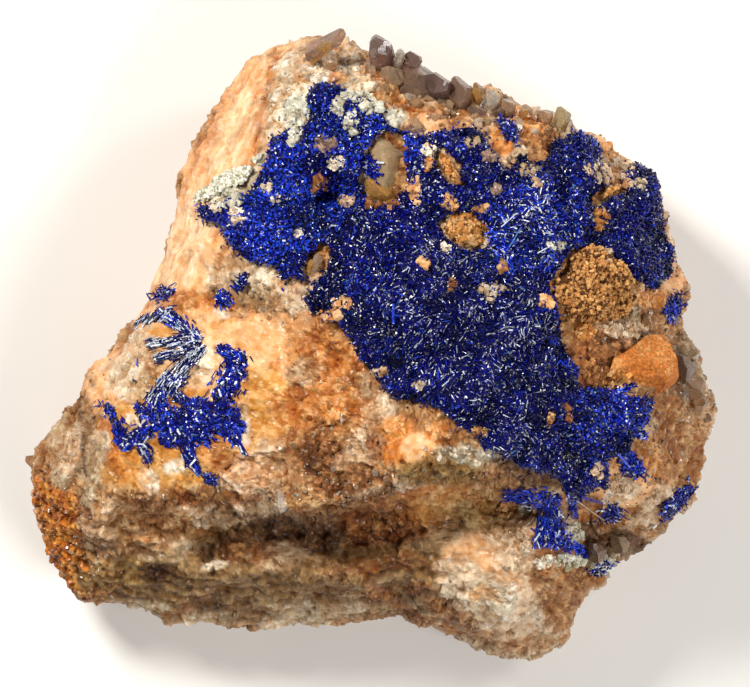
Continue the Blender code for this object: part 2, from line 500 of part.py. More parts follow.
def rock_cutter(rock_bm):
    """The rock grown by GAP all round, to cut what stands on it."""
    bm = rock_bm.copy()
    bm.normal_update()
    moves = {v: v.normal * GAP * CUTTER_MARGIN for v in bm.verts}
    for v, move in moves.items():
        v.co += move
    cutter = node_from("rock_cutter", bm, "matrix")
    cutter.hide_render = True
    cutter.display_type = "WIRE"
    return cutter


def crystal(bm, foot, tip, radius, flatness, turn):
    """A six-sided prism from foot towards tip that ends in a point."""
    axis = tip - foot
    frame = axis.to_track_quat("Z", "Y").to_matrix() @ Matrix.Rotation(math.radians(turn), 3, "Z")
    rings = []
    for share in (0.0, 1.0 - POINT_STEEPNESS * radius / axis.length):
        centre = foot + axis * share
        ring = []
        for k in range(6):
            a = math.pi / 3 * k
            out = frame @ Vector((math.cos(a), math.sin(a) * flatness, 0))
            ring.append(bm.verts.new(centre + out * radius))
        rings.append(ring)
    point = bm.verts.new(tip)
    bm.faces.new(list(reversed(rings[0])))
    for k in range(6):
        following = (k + 1) % 6
        bm.faces.new((rings[0][k], rings[0][following], rings[1][following], rings[1][k]))
        bm.faces.new((rings[1][k], rings[1][following], point))


def quartz(name, table, cutter):
    bm = bmesh.new()
    for x, y, z, tip_x, tip_y, tip_z, radius, flatness, turn in table:
        foot, tip = Vector((x, y, z)) * MM, Vector((tip_x, tip_y, tip_z)) * MM
        crystal(bm, foot, tip, radius * MM, flatness, turn)
    cut_to_rock(node_from(name, bm, "quartz"), cutter)


def blade(bm, skin, start, end, start_width, end_width):
    """A blade along the skin from start to end in the plan, with bevelled sides."""
    pieces = max(1, round((end - start).length / BLADE_STEP))
    side = (end - start).normalized().orthogonal()
    reach = (end - start) / pieces / 2
    rings = []
    for k in range(pieces + 1):
        at = start.lerp(end, k / pieces)
        half = side * (start_width + (end_width - start_width) * k / pieces) / 2
        around = product((-BLADE_TOP, 0, BLADE_TOP), (-1, 0, 1))
        z = max(height_over(skin, *(at + half * across + reach * along)) for across, along in around)
        ring = []
        for side_sign, share, level in (
            (-1, BLADE_FOOT, -BLADE_SINK), (1, BLADE_FOOT, -BLADE_SINK), (1, BLADE_TOP, BLADE_HEIGHT),
            (-1, BLADE_TOP, BLADE_HEIGHT),
        ):  # fmt: skip
            p = at + half * side_sign * share
            ring.append(bm.verts.new((p.x, p.y, z + level)))
        rings.append(ring)
    bm.faces.new(list(reversed(rings[0])))
    bm.faces.new(rings[-1])
    for before, after in zip(rings, rings[1:]):
        for k in range(4):
            following = (k + 1) % 4
            bm.faces.new((before[k], before[following], after[following], after[k]))


def strokes(name, skin, table, cutter):
    bm = bmesh.new()
    for x, y, end_x, end_y, start_width, end_width in table:
        blade(bm, skin, Vector((x, y)) * MM, Vector((end_x, end_y)) * MM, start_width * MM, end_width * MM)
    bmesh.ops.recalc_face_normals(bm, faces=bm.faces)
    cut_to_rock(node_from(name, bm, "linarite"), cutter)


def tuft(name, skin, x, y, reach, blades, cutter, dice):
    """A star of short blades that are grown together in the middle."""
    bm = bmesh.new()
    foot, up = skin.ray_cast(Vector((x * MM, y * MM, 1.0)), Vector((0, 0, -1)))[:2]
    tilt = up.to_track_quat("Z", "Y")
    low, high = [], []
    for k in range(2 * blades):
        a = math.pi * (k + dice.uniform(-TUFT_WANDER, TUFT_WANDER)) / blades
        share = dice.uniform(0.85, 1.15) if k % 2 else TUFT_DENT
        out = tilt @ Vector((math.cos(a), math.sin(a), 0)) * reach * share * MM
        low.append(bm.verts.new(foot + out - up * BLADE_SINK))
        high.append(bm.verts.new(foot + out + up * (1.15 - 0.45 * share) * BLADE_HEIGHT))
    top = bm.verts.new(foot + up * 1.2 * BLADE_HEIGHT)
    bm.faces.new(list(reversed(low)))
    for k in range(2 * blades):
        following = (k + 1) % (2 * blades)
        bm.faces.new((low[k], low[following], high[following], high[k]))
        bm.faces.new((high[k], high[following], top))
    cut_to_rock(node_from(name, bm, "linarite"), cutter)


def lump(name, skin, eye, height, finish, cutter):
    """A rounded, uneven mass that fills an eye of the crust."""
    x, y, half_length, half_width, turn = eye
    bm = bmesh.new()
    bmesh.ops.create_icosphere(bm, subdivisions=2, radius=1.0)
    scale = Vector((half_length - EYE_MARGIN, half_width - EYE_MARGIN, height)) * MM
    for v in bm.verts:
        uneven = 0.92 + 0.16 * noise.noise(v.co * 2.2 + Vector((x, y, 0)))
        v.co = Matrix.Rotation(math.radians(turn), 3, "Z") @ (v.co * uneven * scale)
        v.co += Vector((x * MM, y * MM, height_over(skin, x * MM, y * MM)))
    cut_to_rock(node_from(name, bm, finish), cutter)


def dome(name, skin, eye, cutter):
    """The worn, blocky quartz crystal that stands in the crust."""
    x, y, half_length, half_width, turn = eye
    bm = bmesh.new()
    bmesh.ops.create_cube(bm, size=2.0)
    bmesh.ops.bevel(bm, geom=bm.edges, offset=DOME_WEAR, segments=2, profile=0.5, affect="EDGES", material=-1)
    size = Vector((half_length - EYE_MARGIN, half_width - EYE_MARGIN, DOME_HEIGHT / MM)) * MM
    turned = Matrix.Rotation(math.radians(turn), 3, "Z") @ Matrix.Rotation(math.radians(DOME_LEAN), 3, "X")
    for v in bm.verts:
        v.co = turned @ (v.co * size) + Vector((x * MM, y * MM, height_over(skin, x * MM, y * MM)))
    cut_to_rock(node_from(name, bm, "quartz"), cutter)


def centre_on_table(objects):
    """Moves every shape so that the middle of the specimen's under side is the origin."""
    bpy.context.view_layer.update()
    scene_graph = bpy.context.evaluated_depsgraph_get()
    points = []
    for obj in objects:
        if not obj.hide_render:
            points += [v.co.copy() for v in obj.evaluated_get(scene_graph).to_mesh().vertices]
    middle = [(min(p[k] for p in points) + max(p[k] for p in points)) / 2 for k in range(2)]
    shift = Matrix.Translation((-middle[0], -middle[1], -min(p.z for p in points)))
    for obj in objects:
        obj.data.transform(shift)


def main():
    clear_scene()
    dice = random.Random(SEED)
    rim = finer(outline_of(RIM), RIM_STEP)
    crust_outline = finer(outline_of(BLUE_OUTLINE), SKIN_STEP)
    eyes = [finer(eye_outline(*eye), SKIN_STEP) for eye in EYES]
    patch_tables = (SPONGE_OUTLINE, OCHRE_BLOCK_OUTLINE, PALE_CRUST_OUTLINE)
    patches = [finer(outline_of(table), SKIN_STEP) for table in patch_tables]
    rock_bm = rock(smooth_relief(), rim, [crust_outline, *eyes, *patches])
    skin = BVHTree.FromBMesh(rock_bm)
    cutter = rock_cutter(rock_bm)
    first_patch = len(EYES) + 2
    layer("linarite_crust", rock_bm, {1}, "linarite", CRUST_THICKNESS)
    layer("limonite_sponge", rock_bm, {first_patch}, "limonite", SPONGE_THICKNESS)
    layer("limonite_block", rock_bm, {first_patch + 1}, "limonite", BLOCK_THICKNESS)
    layer("pale_green_crust", rock_bm, {first_patch + 2}, "pale_green", PALE_CRUST_THICKNESS)
    node_from("matrix", rock_bm, "matrix")
    dome("quartz_dome", skin, QUARTZ_EYE, cutter)
    lump("quartz_lens", skin, LENS_EYE, 1.7, "quartz", cutter)
    lump("limonite_knob", skin, OCHRE_KNOB_EYE, 2.2, "limonite", cutter)
    lump("limonite_ribbon", skin, OCHRE_RIBBON_EYE, 1.8, "limonite", cutter)
    lump("limonite_ribbon_right", skin, RIGHT_RIBBON_EYE, 1.7, "limonite", cutter)
    quartz("quartz_crown", QUARTZ_CROWN, cutter)
    quartz("quartz_plate", QUARTZ_PLATE, cutter)
    quartz("quartz_shoulder", QUARTZ_SHOULDER, cutter)
    quartz("quartz_green", QUARTZ_GREEN, cutter)
    quartz("quartz_ledge_point", QUARTZ_LEDGE_POINT, cutter)
    quartz("quartz_ledge", QUARTZ_LEDGE, cutter)
    quartz("quartz_right", QUARTZ_RIGHT, cutter)
    quartz("quartz_notch", QUARTZ_NOTCH, cutter)
    strokes("linarite_spray", skin, SPRAY_BLADES, cutter)
    strokes("linarite_tail", skin, LOWER_TAIL, cutter)
    for name, x, y, reach, blades in TUFTS:
        tuft(name, skin, x, y, reach, blades, cutter, dice)
    centre_on_table(list(bpy.data.objects))


main()
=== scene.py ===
"""Looks of the linarite specimen: a broken lump of iron-stained quartz with a crust of deep blue blades.

The specimen lies on its back, and the camera looks straight down on it. Tables are in millimetres on the
plan: +X is the right of the display face, +Y its top edge and +Z points away from the table.
"""

import math

import bmesh
import bpy
import numpy as np
from mathutils import Matrix, Vector
from mathutils.bvhtree import BVHTree


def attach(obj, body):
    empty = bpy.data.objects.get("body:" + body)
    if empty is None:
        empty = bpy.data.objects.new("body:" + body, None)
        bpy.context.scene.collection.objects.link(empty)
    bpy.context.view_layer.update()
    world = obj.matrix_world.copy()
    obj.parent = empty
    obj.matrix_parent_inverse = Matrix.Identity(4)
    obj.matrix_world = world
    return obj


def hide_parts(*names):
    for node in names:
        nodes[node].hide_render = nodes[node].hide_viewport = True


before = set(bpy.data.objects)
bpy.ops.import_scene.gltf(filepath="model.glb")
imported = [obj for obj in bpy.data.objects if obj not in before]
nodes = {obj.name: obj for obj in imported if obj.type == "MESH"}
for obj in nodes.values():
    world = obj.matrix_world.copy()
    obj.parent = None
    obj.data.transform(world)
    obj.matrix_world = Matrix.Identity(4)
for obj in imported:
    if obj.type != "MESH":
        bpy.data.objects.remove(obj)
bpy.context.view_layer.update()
dice = np.random.default_rng(7)

MM = 0.001
CRUST_BLADES = 29000
CRYSTAL_SEED = 11
PLAN_SHIFT = np.array((0.045, 0.111, 0.0)) * MM  # from the tables' plan to the specimen's frame

# Stains of the rock, each a mix of three colours that its grains take: most, some and few of them.
STAIN_COLOURS = {
    "cream": ((0.76, 0.40, 0.17), (0.80, 0.48, 0.25), (0.68, 0.30, 0.09)),
    "peach": ((0.70, 0.34, 0.14), (0.78, 0.46, 0.24), (0.60, 0.22, 0.06)),
    "pale_cream": ((0.84, 0.56, 0.32), (0.86, 0.63, 0.42), (0.76, 0.44, 0.21)),
    "white": ((0.88, 0.75, 0.57), (0.80, 0.60, 0.39), (0.94, 0.88, 0.76)),
    "orange": ((0.62, 0.24, 0.055), (0.72, 0.36, 0.13), (0.48, 0.14, 0.02)),
    "bright_orange": ((0.66, 0.22, 0.03), (0.72, 0.33, 0.08), (0.56, 0.15, 0.015)),
    "rust": ((0.62, 0.19, 0.015), (0.74, 0.31, 0.05), (0.36, 0.09, 0.008)),
    "ochre": ((0.62, 0.26, 0.06), (0.74, 0.42, 0.17), (0.40, 0.14, 0.03)),
    "yellow": ((0.58, 0.25, 0.045), (0.66, 0.36, 0.12), (0.50, 0.18, 0.02)),
    "pale_beige": ((0.70, 0.49, 0.31), (0.80, 0.62, 0.44), (0.56, 0.34, 0.18)),
    "beige": ((0.50, 0.32, 0.18), (0.62, 0.44, 0.28), (0.38, 0.20, 0.09)),
    "tan": ((0.46, 0.22, 0.08), (0.58, 0.34, 0.15), (0.32, 0.12, 0.03)),
    "brown": ((0.29, 0.105, 0.028), (0.42, 0.18, 0.055), (0.16, 0.05, 0.012)),
    # The darkest brown is both dark brown rock and painted shade: it darkens the recess under the ledge, the
    # hollow under the crust and the crevices at the lower right.
    "dark_brown_and_shade": ((0.09, 0.036, 0.011), (0.16, 0.07, 0.022), (0.04, 0.016, 0.005)),
    "mauve": ((0.30, 0.185, 0.135), (0.42, 0.28, 0.21), (0.19, 0.11, 0.075)),
    "grey": ((0.36, 0.24, 0.13), (0.48, 0.35, 0.22), (0.23, 0.14, 0.065)),
    "pale_grey": ((0.52, 0.38, 0.23), (0.64, 0.52, 0.38), (0.40, 0.27, 0.14)),
    "greenish": ((0.64, 0.60, 0.46), (0.76, 0.74, 0.62), (0.50, 0.44, 0.28)),
    "olive": ((0.30, 0.16, 0.04), (0.42, 0.27, 0.10), (0.18, 0.09, 0.02)),
    "layers": ((0.22, 0.12, 0.042), (0.33, 0.20, 0.085), (0.12, 0.06, 0.018)),
}
# How rough each stain's rock is broken.
STAIN_RELIEF = {
    "cream": 0.2, "peach": 0.3, "pale_cream": 0.2, "white": 0.8, "orange": 0.8, "bright_orange": 0.6,
    "rust": 1.2, "ochre": 1.0, "yellow": 0.5, "pale_beige": 0.8, "beige": 0.9, "tan": 1.0, "brown": 1.2,
    "dark_brown_and_shade": 1.0, "mauve": 1.2, "grey": 0.9, "pale_grey": 0.7, "greenish": 0.9, "olive": 0.9,
    "layers": 0.6,
}  # fmt: skip

# Where the stains are: stain, x, y, half length, half width, turn in degrees, strength.
# Later ones lie over earlier ones.
STAINS = [
    # smooth flank at the upper left
    ("cream", -14.4, 17, 15, 4.4, 66, 1), ("cream", -19, 8, 6, 3, 70, 1),
    ("peach", -16.9, 19, 9, 0.9, 66, 0.6), ("peach", -11, 24.5, 4, 1.2, 80, 0.8),
    ("orange", -10.1, 25.6, 3.2, 0.8, 82, 0.9), ("orange", -11.2, 20.5, 2.6, 0.7, 70, 0.8),
    ("peach", -14.5, 13, 4, 0.7, 62, 0.5), ("peach", -17.6, 13, 4, 0.4, 72, 0.35),
    ("tan", -12.4, 17, 3.6, 0.4, 64, 0.5), ("cream", -20.6, 4, 3.2, 2.2, 60, 0.9),
    ("pale_cream", -19, 9.6, 6, 2.2, 70, 0.9), ("pale_cream", -14.6, 19.6, 6, 1.6, 66, 0.5),
    ("orange", -9.2, 28, 2.2, 0.7, 40, 0.8), ("brown", -9.6, 22.6, 1.6, 0.3, 75, 0.6),
    # druse along the top
    ("white", -7.6, 24.5, 4.6, 3.2, 70, 0.95), ("beige", -4.2, 29, 3.4, 1.8, 20, 1),
    ("white", -5.6, 26.8, 1.8, 1.4, 30, 1), ("white", -1.6, 26.6, 2.2, 1.8, 10, 1),
    ("orange", -3.7, 26.5, 1, 0.7, 20, 0.8), ("orange", 1, 27.5, 2.2, 1.5, -20, 0.8),
    ("peach", -4.8, 29.2, 2, 0.5, 25, 0.9), ("orange", 3.6, 23.6, 1.8, 2.4, 20, 0.9),
    ("beige", 4.8, 26.4, 3.4, 2.8, -30, 0.85), ("pale_beige", 7.2, 22, 2.8, 1.8, 0, 0.9),
    ("peach", 6, 22.4, 1.4, 1.4, 0, 0.9), ("beige", 10.2, 24.4, 3.6, 2.4, -20, 0.9),
    ("orange", 10.6, 25.7, 1.4, 0.6, 5, 0.9), ("orange", 9.6, 22.6, 1.5, 1, 0, 0.8),
    ("beige", 12, 22.4, 2.6, 1.4, -10, 0.9), ("bright_orange", 12.6, 20.1, 0.9, 1.6, 20, 0.9),
    ("peach", 15.4, 23, 2.4, 1.5, -20, 0.8), ("orange", 16, 22, 1.6, 0.8, -20, 0.8),
    ("greenish", 19, 22.8, 1.6, 1.2, 0, 0.9), ("peach", 21.6, 20.2, 1.8, 1, -40, 0.8),
    ("tan", 28.4, 12.6, 0.8, 4.6, 14, 0.9), ("pale_beige", 19.8, 21.2, 3, 1.2, -30, 0.9),
    ("cream", 23.4, 18.8, 2.6, 1.6, -50, 0.9), ("cream", 23.4, 17.2, 2.4, 0.8, -30, 0.9),
    ("peach", 24.6, 18.6, 1.6, 0.7, -60, 0.8), ("greenish", -7.6, 23.4, 1.4, 1.6, 60, 0.9),
    ("greenish", 2.2, 22.6, 1.2, 1.1, 0, 0.9), ("greenish", -13.6, 15.6, 3.4, 1.5, 35, 0.9),
    ("white", -12.8, 12.2, 1.6, 1, 40, 0.8),
    # grey-beige to orange waist
    ("pale_beige", -10.6, 5, 6.4, 3.6, -15, 1), ("grey", -12.6, 4.6, 2.2, 2, 0, 0.7),
    ("grey", -8.6, 3.4, 2.4, 1.2, -20, 0.6), ("white", -11, 7.2, 2.2, 1.2, 0, 0.8),
    ("orange", -17.4, 3.8, 4.6, 1.6, -6, 0.85), ("white", -15.1, 3.1, 0.9, 0.7, 0, 1),
    ("cream", -17, -1, 5, 4.4, 0, 0.9), ("cream", -10.6, -0.4, 3.6, 3, -20, 0.9),
    ("orange", -6, -0.6, 3.6, 3.4, -40, 0.7), ("orange", -3.6, -3.6, 4, 3.6, -40, 0.6),
    ("yellow", -10.8, -6.4, 3.4, 3.4, 0, 0.95), ("orange", -7.4, -6.6, 2.6, 2.6, 0, 0.7),
    ("beige", -7.2, -2.8, 1.6, 1.5, 0, 0.7), ("beige", -0.2, -4.4, 1.6, 1.2, 0, 0.8),
    ("orange", -4.4, -7, 4.6, 2.6, 0, 0.85), ("brown", -5.4, -10.6, 2.4, 2.4, 60, 0.9),
    ("brown", 0.2, -9.6, 1.3, 2.8, 5, 0.8), ("dark_brown_and_shade", -6.2, -11.6, 1, 1.6, 30, 0.6),
    ("orange", 2, -8.4, 2, 1.3, 10, 0.9), ("bright_orange", 3.4, -10.4, 2.8, 2.2, 10, 0.95),
    ("cream", 4.3, -10.4, 1.8, 2, 20, 1), ("orange", 6.2, -8.6, 1, 1, 0, 0.8),
    ("tan", -0.6, -13, 4.2, 1.4, 8, 0.8), ("brown", -2.6, -13.8, 3.4, 0.9, 10, 0.7),
    ("olive", 6.6, -12.6, 4.2, 1.5, 4, 0.9), ("greenish", 9.4, -11, 2.4, 1, -10, 0.7),
    # left wing
    ("yellow", -21, -9, 9, 6.6, 0, 0.95), ("cream", -26, -3.6, 3.6, 2.6, 50, 0.95),
    ("white", -24.4, -3.6, 2.2, 2.6, 20, 0.9), ("white", -17.4, -2.2, 1.5, 2.2, 0, 0.85),
    ("yellow", -21.2, 0.6, 1.6, 1.4, 0, 0.9), ("white", -23.4, -8.4, 1.5, 1.6, 0, 0.8),
    ("orange", -26.6, -9.4, 1.4, 2, 20, 0.7), ("white", -27.2, -9.8, 1, 1.2, 0, 0.85),
    ("orange", -16.4, -10.6, 1.6, 2, 30, 0.7), ("white", -22.2, -13.8, 0.8, 1.3, 20, 0.95),
    ("white", -19.7, -12.2, 1.4, 0.7, 10, 0.9), ("white", -13.3, -12.1, 1.1, 0.9, 0, 0.9),
    ("white", -13.2, -8, 0.9, 1.8, 10, 0.8), ("orange", -12.4, -12.6, 3, 1.8, 0, 0.5),
    ("brown", -17, -15.4, 8, 0.7, 2, 0.85), ("tan", -19.4, -14.8, 6.4, 0.5, 0, 0.6),
    ("bright_orange", -24.6, -11.6, 1.8, 1, -20, 0.6), ("brown", -23, -10.8, 1.2, 0.5, -30, 0.5),
    # translucent corner and its spiky edge
    ("grey", -30.2, -12, 2.6, 6.4, -8, 0.9), ("tan", -31.4, -9.6, 2.2, 3.4, -25, 0.8),
    ("pale_grey", -31.6, -9, 1.2, 1.6, -25, 0.8), ("pale_grey", -31.2, -14, 1.2, 2.2, 0, 0.6),
    ("dark_brown_and_shade", -29, -10.6, 0.3, 4.8, 6, 0.85), ("tan", -29.6, -15.6, 1.2, 2.4, 4, 0.8),
    ("beige", -28.4, -17.6, 1.2, 3.4, 4, 0.8), ("rust", -32.2, -17.6, 2.4, 5.2, 18, 0.95),
    ("rust", -31, -22, 2.4, 3.2, 30, 0.95), ("tan", -27.4, -15, 1, 1.6, 0, 0.7),
    ("pale_beige", -30.6, -10.8, 1.4, 2.6, -20, 0.9), ("pale_grey", -28.2, -13, 0.8, 2.4, 0, 0.7),
    # shaded lower face with its layers
    ("layers", -14, -22.4, 14, 5, 0, 1), ("layers", 3, -22, 9, 5.4, 10, 0.9),
    ("tan", -22.4, -18.6, 5.6, 2.2, 2, 0.9), ("pale_grey", -20.4, -20.6, 4, 1.2, 4, 0.35),
    # Painted shadow: the darkest stain in the next row darkens the recess under the ledge.
    ("dark_brown_and_shade", -7.6, -18.8, 7.4, 1.9, 2, 0.95), ("brown", -12.6, -20.8, 3, 1, 0, 0.6),
    ("beige", -26.8, -20.4, 1.6, 2.6, 10, 0.8), ("olive", -25.6, -23, 2.6, 2, 10, 0.8),
    ("dark_brown_and_shade", -21.8, -23, 2, 1.2, -20, 0.8), ("white", -16.2, -22.2, 1.2, 0.4, 15, 0.8),
    ("brown", 2, -17.4, 5.6, 2.6, 10, 0.85), ("yellow", 5.6, -15.8, 3.2, 1.8, 5, 0.7),
    ("pale_grey", -5.4, -26.8, 4.8, 1.3, 8, 0.8), ("brown", 0.6, -25, 1.6, 0.9, -5, 0.9),
    ("brown", 4.4, -24.4, 1.4, 0.8, 10, 0.7), ("pale_grey", -23.6, -26.6, 2.6, 0.9, -12, 0.9),
    ("pale_grey", -18, -27.4, 3, 0.8, 0, 0.7), ("tan", -3.4, -22.8, 2.4, 1, 0, 0.6),
    ("orange", -1, -22, 1.6, 0.9, 0, 0.5), ("tan", 3, -21.4, 2.2, 1.2, 0, 0.6),
    ("beige", -9.6, -21.4, 2.4, 1.4, 10, 0.5), ("dark_brown_and_shade", -16.8, -20.9, 0.9, 0.6, 0, 0.9),
    # cream lower right
    ("pale_beige", 12.6, -23.6, 6.4, 6.2, 20, 0.95), ("cream", 9, -21.6, 3, 2.4, 30, 0.8),
    ("cream", 12.2, -25.6, 3.6, 3, 20, 0.8), ("white", 14.4, -26.4, 3.2, 2.6, 20, 0.5),
    ("greenish", 9.4, -24.4, 2.4, 2.2, 0, 0.5), ("tan", 18, -24, 2, 5, 10, 0.85),
    ("white", 11.6, -25.8, 3, 2.4, 20, 0.9), ("white", 8, -22.4, 2, 1.6, 20, 0.5),
    ("brown", 19.6, -21.6, 1.4, 3, 10, 0.8), ("olive", 10, -17, 3.4, 1.6, -10, 0.8),
    # Painted shade: the darkest stain in the next row fills the shaded hollow below the blue crust.
    ("dark_brown_and_shade", 15.6, -13, 3, 1, -20, 0.8), ("brown", 7.6, -27, 3, 1, -35, 0.7),
    ("brown", 5, -28.2, 3.6, 0.7, -35, 0.7),
    # rough right side
    ("tan", 26, -1, 5, 8, 0, 0.9), ("pale_beige", 24.6, 1.4, 2.8, 1.5, 10, 0.85),
    ("grey", 25.6, 3.6, 1.6, 1.6, 0, 0.85), ("brown", 22.6, -1.6, 3.4, 3.2, 0, 0.95),
    ("orange", 22.6, -3.4, 2, 1.2, 0, 0.6), ("peach", 27.6, 4.8, 1.4, 1.2, 0, 0.9),
    ("peach", 30.2, 7, 1.4, 4.6, -14, 0.9), ("grey", 32.4, -3.4, 2, 4, 10, 0.9),
    ("dark_brown_and_shade", 30.6, -3.6, 0.7, 2.6, 0, 0.6), ("tan", 27.6, -9.6, 4.4, 4, 10, 0.85),
    ("brown", 29.4, -8.6, 1.6, 1.8, 0, 0.7), ("pale_grey", 26.2, -8, 1.6, 1.2, 20, 0.6),
    ("pale_beige", 33, -5.6, 1.2, 3, 10, 0.8), ("orange", 27.6, -12.4, 3, 1.8, 0, 0.6),
    ("tan", 31.6, -9.6, 1.8, 4, 10, 0.8), ("cream", 25, -14.4, 3, 2.2, 20, 0.95),
    ("white", 24.6, -15, 2, 1, 20, 0.8), ("grey", 20.6, -17.6, 2, 1.6, 0, 0.8),
    # Painted shade: the darkest stains in this row and the next fill the crevices at the lower right.
    ("dark_brown_and_shade", 21.8, -19.2, 2.2, 0.8, -55, 0.85), ("dark_brown_and_shade", 25.6, -20, 3, 1.2, -25, 0.9),
    ("dark_brown_and_shade", 23.4, -19.8, 1.8, 1.2, 0, 1), ("grey", 24.6, -21.6, 2.4, 1.2, -10, 0.8),
    ("brown", 29.6, -17.4, 1.6, 2.4, 30, 0.6), ("orange", 21.4, -16.8, 1.6, 0.8, 10, 0.8),
    ("tan", 30, -12.8, 1.6, 2, 30, 0.7),
]  # fmt: skip
# Grains of the rock's skin: width, how much of it their slanted faces rise, seed.
SKIN_GRAINS = ((2.6, 0.13, 71), (1.2, 0.19, 81), (0.62, 0.20, 91))
# The smooth flank, which is streaked: x, y, half length, half width, turn.
FLANK = (-14.4, 17, 15, 4.6, 66)
# Where the layers of the lower face begin and are full: y below its top edge, x left of its right edge.
LOW_FACE_TOP, LOW_FACE_RIGHT = (-15, -17.5), (12, 7)

# Blades of linarite, from the deepest blue to the brightest sheen. The last two are painted sheen and painted
# glints: blades coloured steel and silver stand in for light reflected off the blades.
NAVY, ULTRAMARINE, AZURE, STEEL_SHEEN, SILVER_GLINT = (
    (0.002, 0.003, 0.075), (0.003, 0.006, 0.24), (0.014, 0.055, 0.60), (0.06, 0.17, 0.38), (0.60, 0.66, 0.78),
)  # fmt: skip
# Where the crust's blades take painted sheen and painted glints, in patches: x, y, half length, half width,
# turn, share.
SHEEN_PATCHES = [
    (14.6, 11.4, 4.2, 3, 30, 1), (9, 2, 10, 6, -35, 0.5), (12.6, 3.6, 3.6, 2.8, 40, 0.8),
    (16.2, 0.8, 2.6, 2, 60, 0.8), (5.6, 17.6, 1.6, 2.6, 0, 0.9), (12.6, -8.4, 4, 2.4, -20, 0.6),
    (-2.4, 22.4, 3, 1.6, 0, 0.4), (0, 12, 3, 2.4, 0, 0.3), (-7, 12.6, 3, 1.6, -20, 0.35),
    (21, 12, 2.6, 2, 0, 0.5), (18, 9.4, 2.4, 1.4, 0, 0.6), (24, 15, 1.6, 1.4, 0, 0.4),
]  # fmt: skip
# How bright its blue is, in patches of the same kind.
BRIGHT = [
    (-9, 13.6, 7, 5.4, 20, 1), (-1.6, 20.6, 5, 3.4, 0, 1), (15.4, 11, 6, 4, 30, 0.8),
    (22.6, -7, 4.4, 2.6, 0, 0.7), (27, 6.6, 1.6, 1.4, 0, 0.7), (0, 6, 3, 3, 0, 0.45),
    (19, 0, 1.6, 5, 0, 0.6), (26, 11, 3, 6, 0, 0.2), (7, -1, 4, 3, -40, 0.3), (11.6, 18, 3.4, 2, 0, 0.1),
    (17.6, -5.6, 2.6, 3, 0, 0.15), (-5.4, 17.4, 2.2, 1.4, 0, 0.1), (-11.8, 13.4, 2.6, 1.6, 20, 1),
    (-8.6, 19.6, 1.4, 1.4, 0, 1), (1.6, 22.2, 1.6, 0.9, 0, 1),
]  # fmt: skip
# Where it grows as long thin laths and not as short grains.
LATHY = [
    (8, 2, 13, 8, -38, 1), (14.6, 11, 5, 4, 20, 0.9), (13, -9, 6, 3.4, -30, 0.9), (-5, 12.4, 4, 3, 0, 0.5),
]  # fmt: skip

# The spray on the left wing: start x, y, end x, y, width at start and at end, share of blades with painted
# sheen and glints.
SPRAY_BLADES = [
    (-23.7, 2, -19.8, 3.2, 0.6, 1.1, 0.9), (-21.6, 3.4, -18.8, 1.6, 0.9, 1.5, 0.5),
    (-19.4, 2.4, -17.6, 0.2, 1.3, 1.5, 0.6), (-17.4, 0.4, -22.4, 0, 1.3, 0.8, 1),
    (-17.6, -0.4, -21.6, -1.4, 1.4, 0.8, 1), (-17.3, -0.2, -20.6, -4.8, 1.4, 1.6, 1),
    (-20.2, -3, -22, -5.6, 1.2, 1.3, 0.9), (-20.3, -3.6, -18.6, -3.4, 1, 0.6, 0.5),
    (-21.6, -4.6, -20.6, -8.2, 1.6, 1.7, 0.2), (-23.7, -6.4, -20.4, -7.6, 1, 1.6, 0.1),
    (-20.2, -4.6, -17.6, -6.8, 0.7, 1.4, 0.4), (-17.6, -5.4, -17.2, -8.6, 1.3, 2.5, 0.15),
    (-21, -7.6, -13.4, -7.8, 1.8, 3, 0.1), (-15.6, -6.4, -13.9, -2, 1.9, 1.9, 0.3),
    (-14.8, -0.6, -13.2, -1.8, 0.9, 1.7, 0.1), (-13.2, -1, -13.9, -4.6, 1.4, 1.2, 0.2),
    (-15.4, -0.3, -14, -1.2, 0.8, 1.1, 0.15), (-15.2, -7.6, -12.9, -8.4, 2.6, 0.8, 0.2),
    (-14.6, -8.4, -13.4, -9.6, 1.2, 1.3, 0.2), (-13.9, -9, -12.8, -11, 0.7, 0.4, 0.5),
    (-20.6, -7.6, -25.2, -10, 1.7, 1.1, 0.25), (-25.6, -7.6, -24.8, -10.2, 1.1, 1.3, 0.3),
    (-23.4, -9.2, -22.2, -11.6, 1.2, 0.8, 0.4), (-18.6, -8.2, -18.2, -11.8, 1.9, 0.9, 0.35),
    (-18.4, -11, -17.4, -12.8, 0.9, 0.7, 0.5), (-20.6, -8.6, -20.3, -9.9, 1.1, 0.7, 0.4),
    (-21.2, -9.4, -16.2, -9.2, 1.4, 1.6, 0.1),
]  # fmt: skip
LOWER_TAIL = [
    (17.6, -15, 18, -20.2, 2.2, 2.2, 0.35), (17.2, -15.4, 12.9, -14.9, 1.8, 1.2, 0.25),
    (18, -19.6, 20.6, -20.4, 1.4, 1, 0.2), (16.8, -17.4, 16.2, -20.2, 1.4, 1, 0.45),
    (19.2, -13.4, 20, -17.2, 1.2, 0.6, 0.3), (20, -20.2, 22.6, -22.2, 0.6, 0.9, 0.3),
]  # fmt: skip
CRUST_ARMS = [
    (24, -5.8, 27.6, -5.8, 2.2, 0.7, 0.2), (24, -9.8, 26.8, -12.7, 1.4, 0.5, 0.2),
    (23.4, -8.2, 27, -9.1, 1.5, 0.5, 0.2), (23.6, -5, 26, -3.9, 1.2, 0.4, 0.2),
    (21.6, -11.8, 23, -13.4, 1.6, 0.8, 0.3), (-1.6, 4.6, -2.6, 3, 1.2, 0.6, 0.3),
]  # fmt: skip
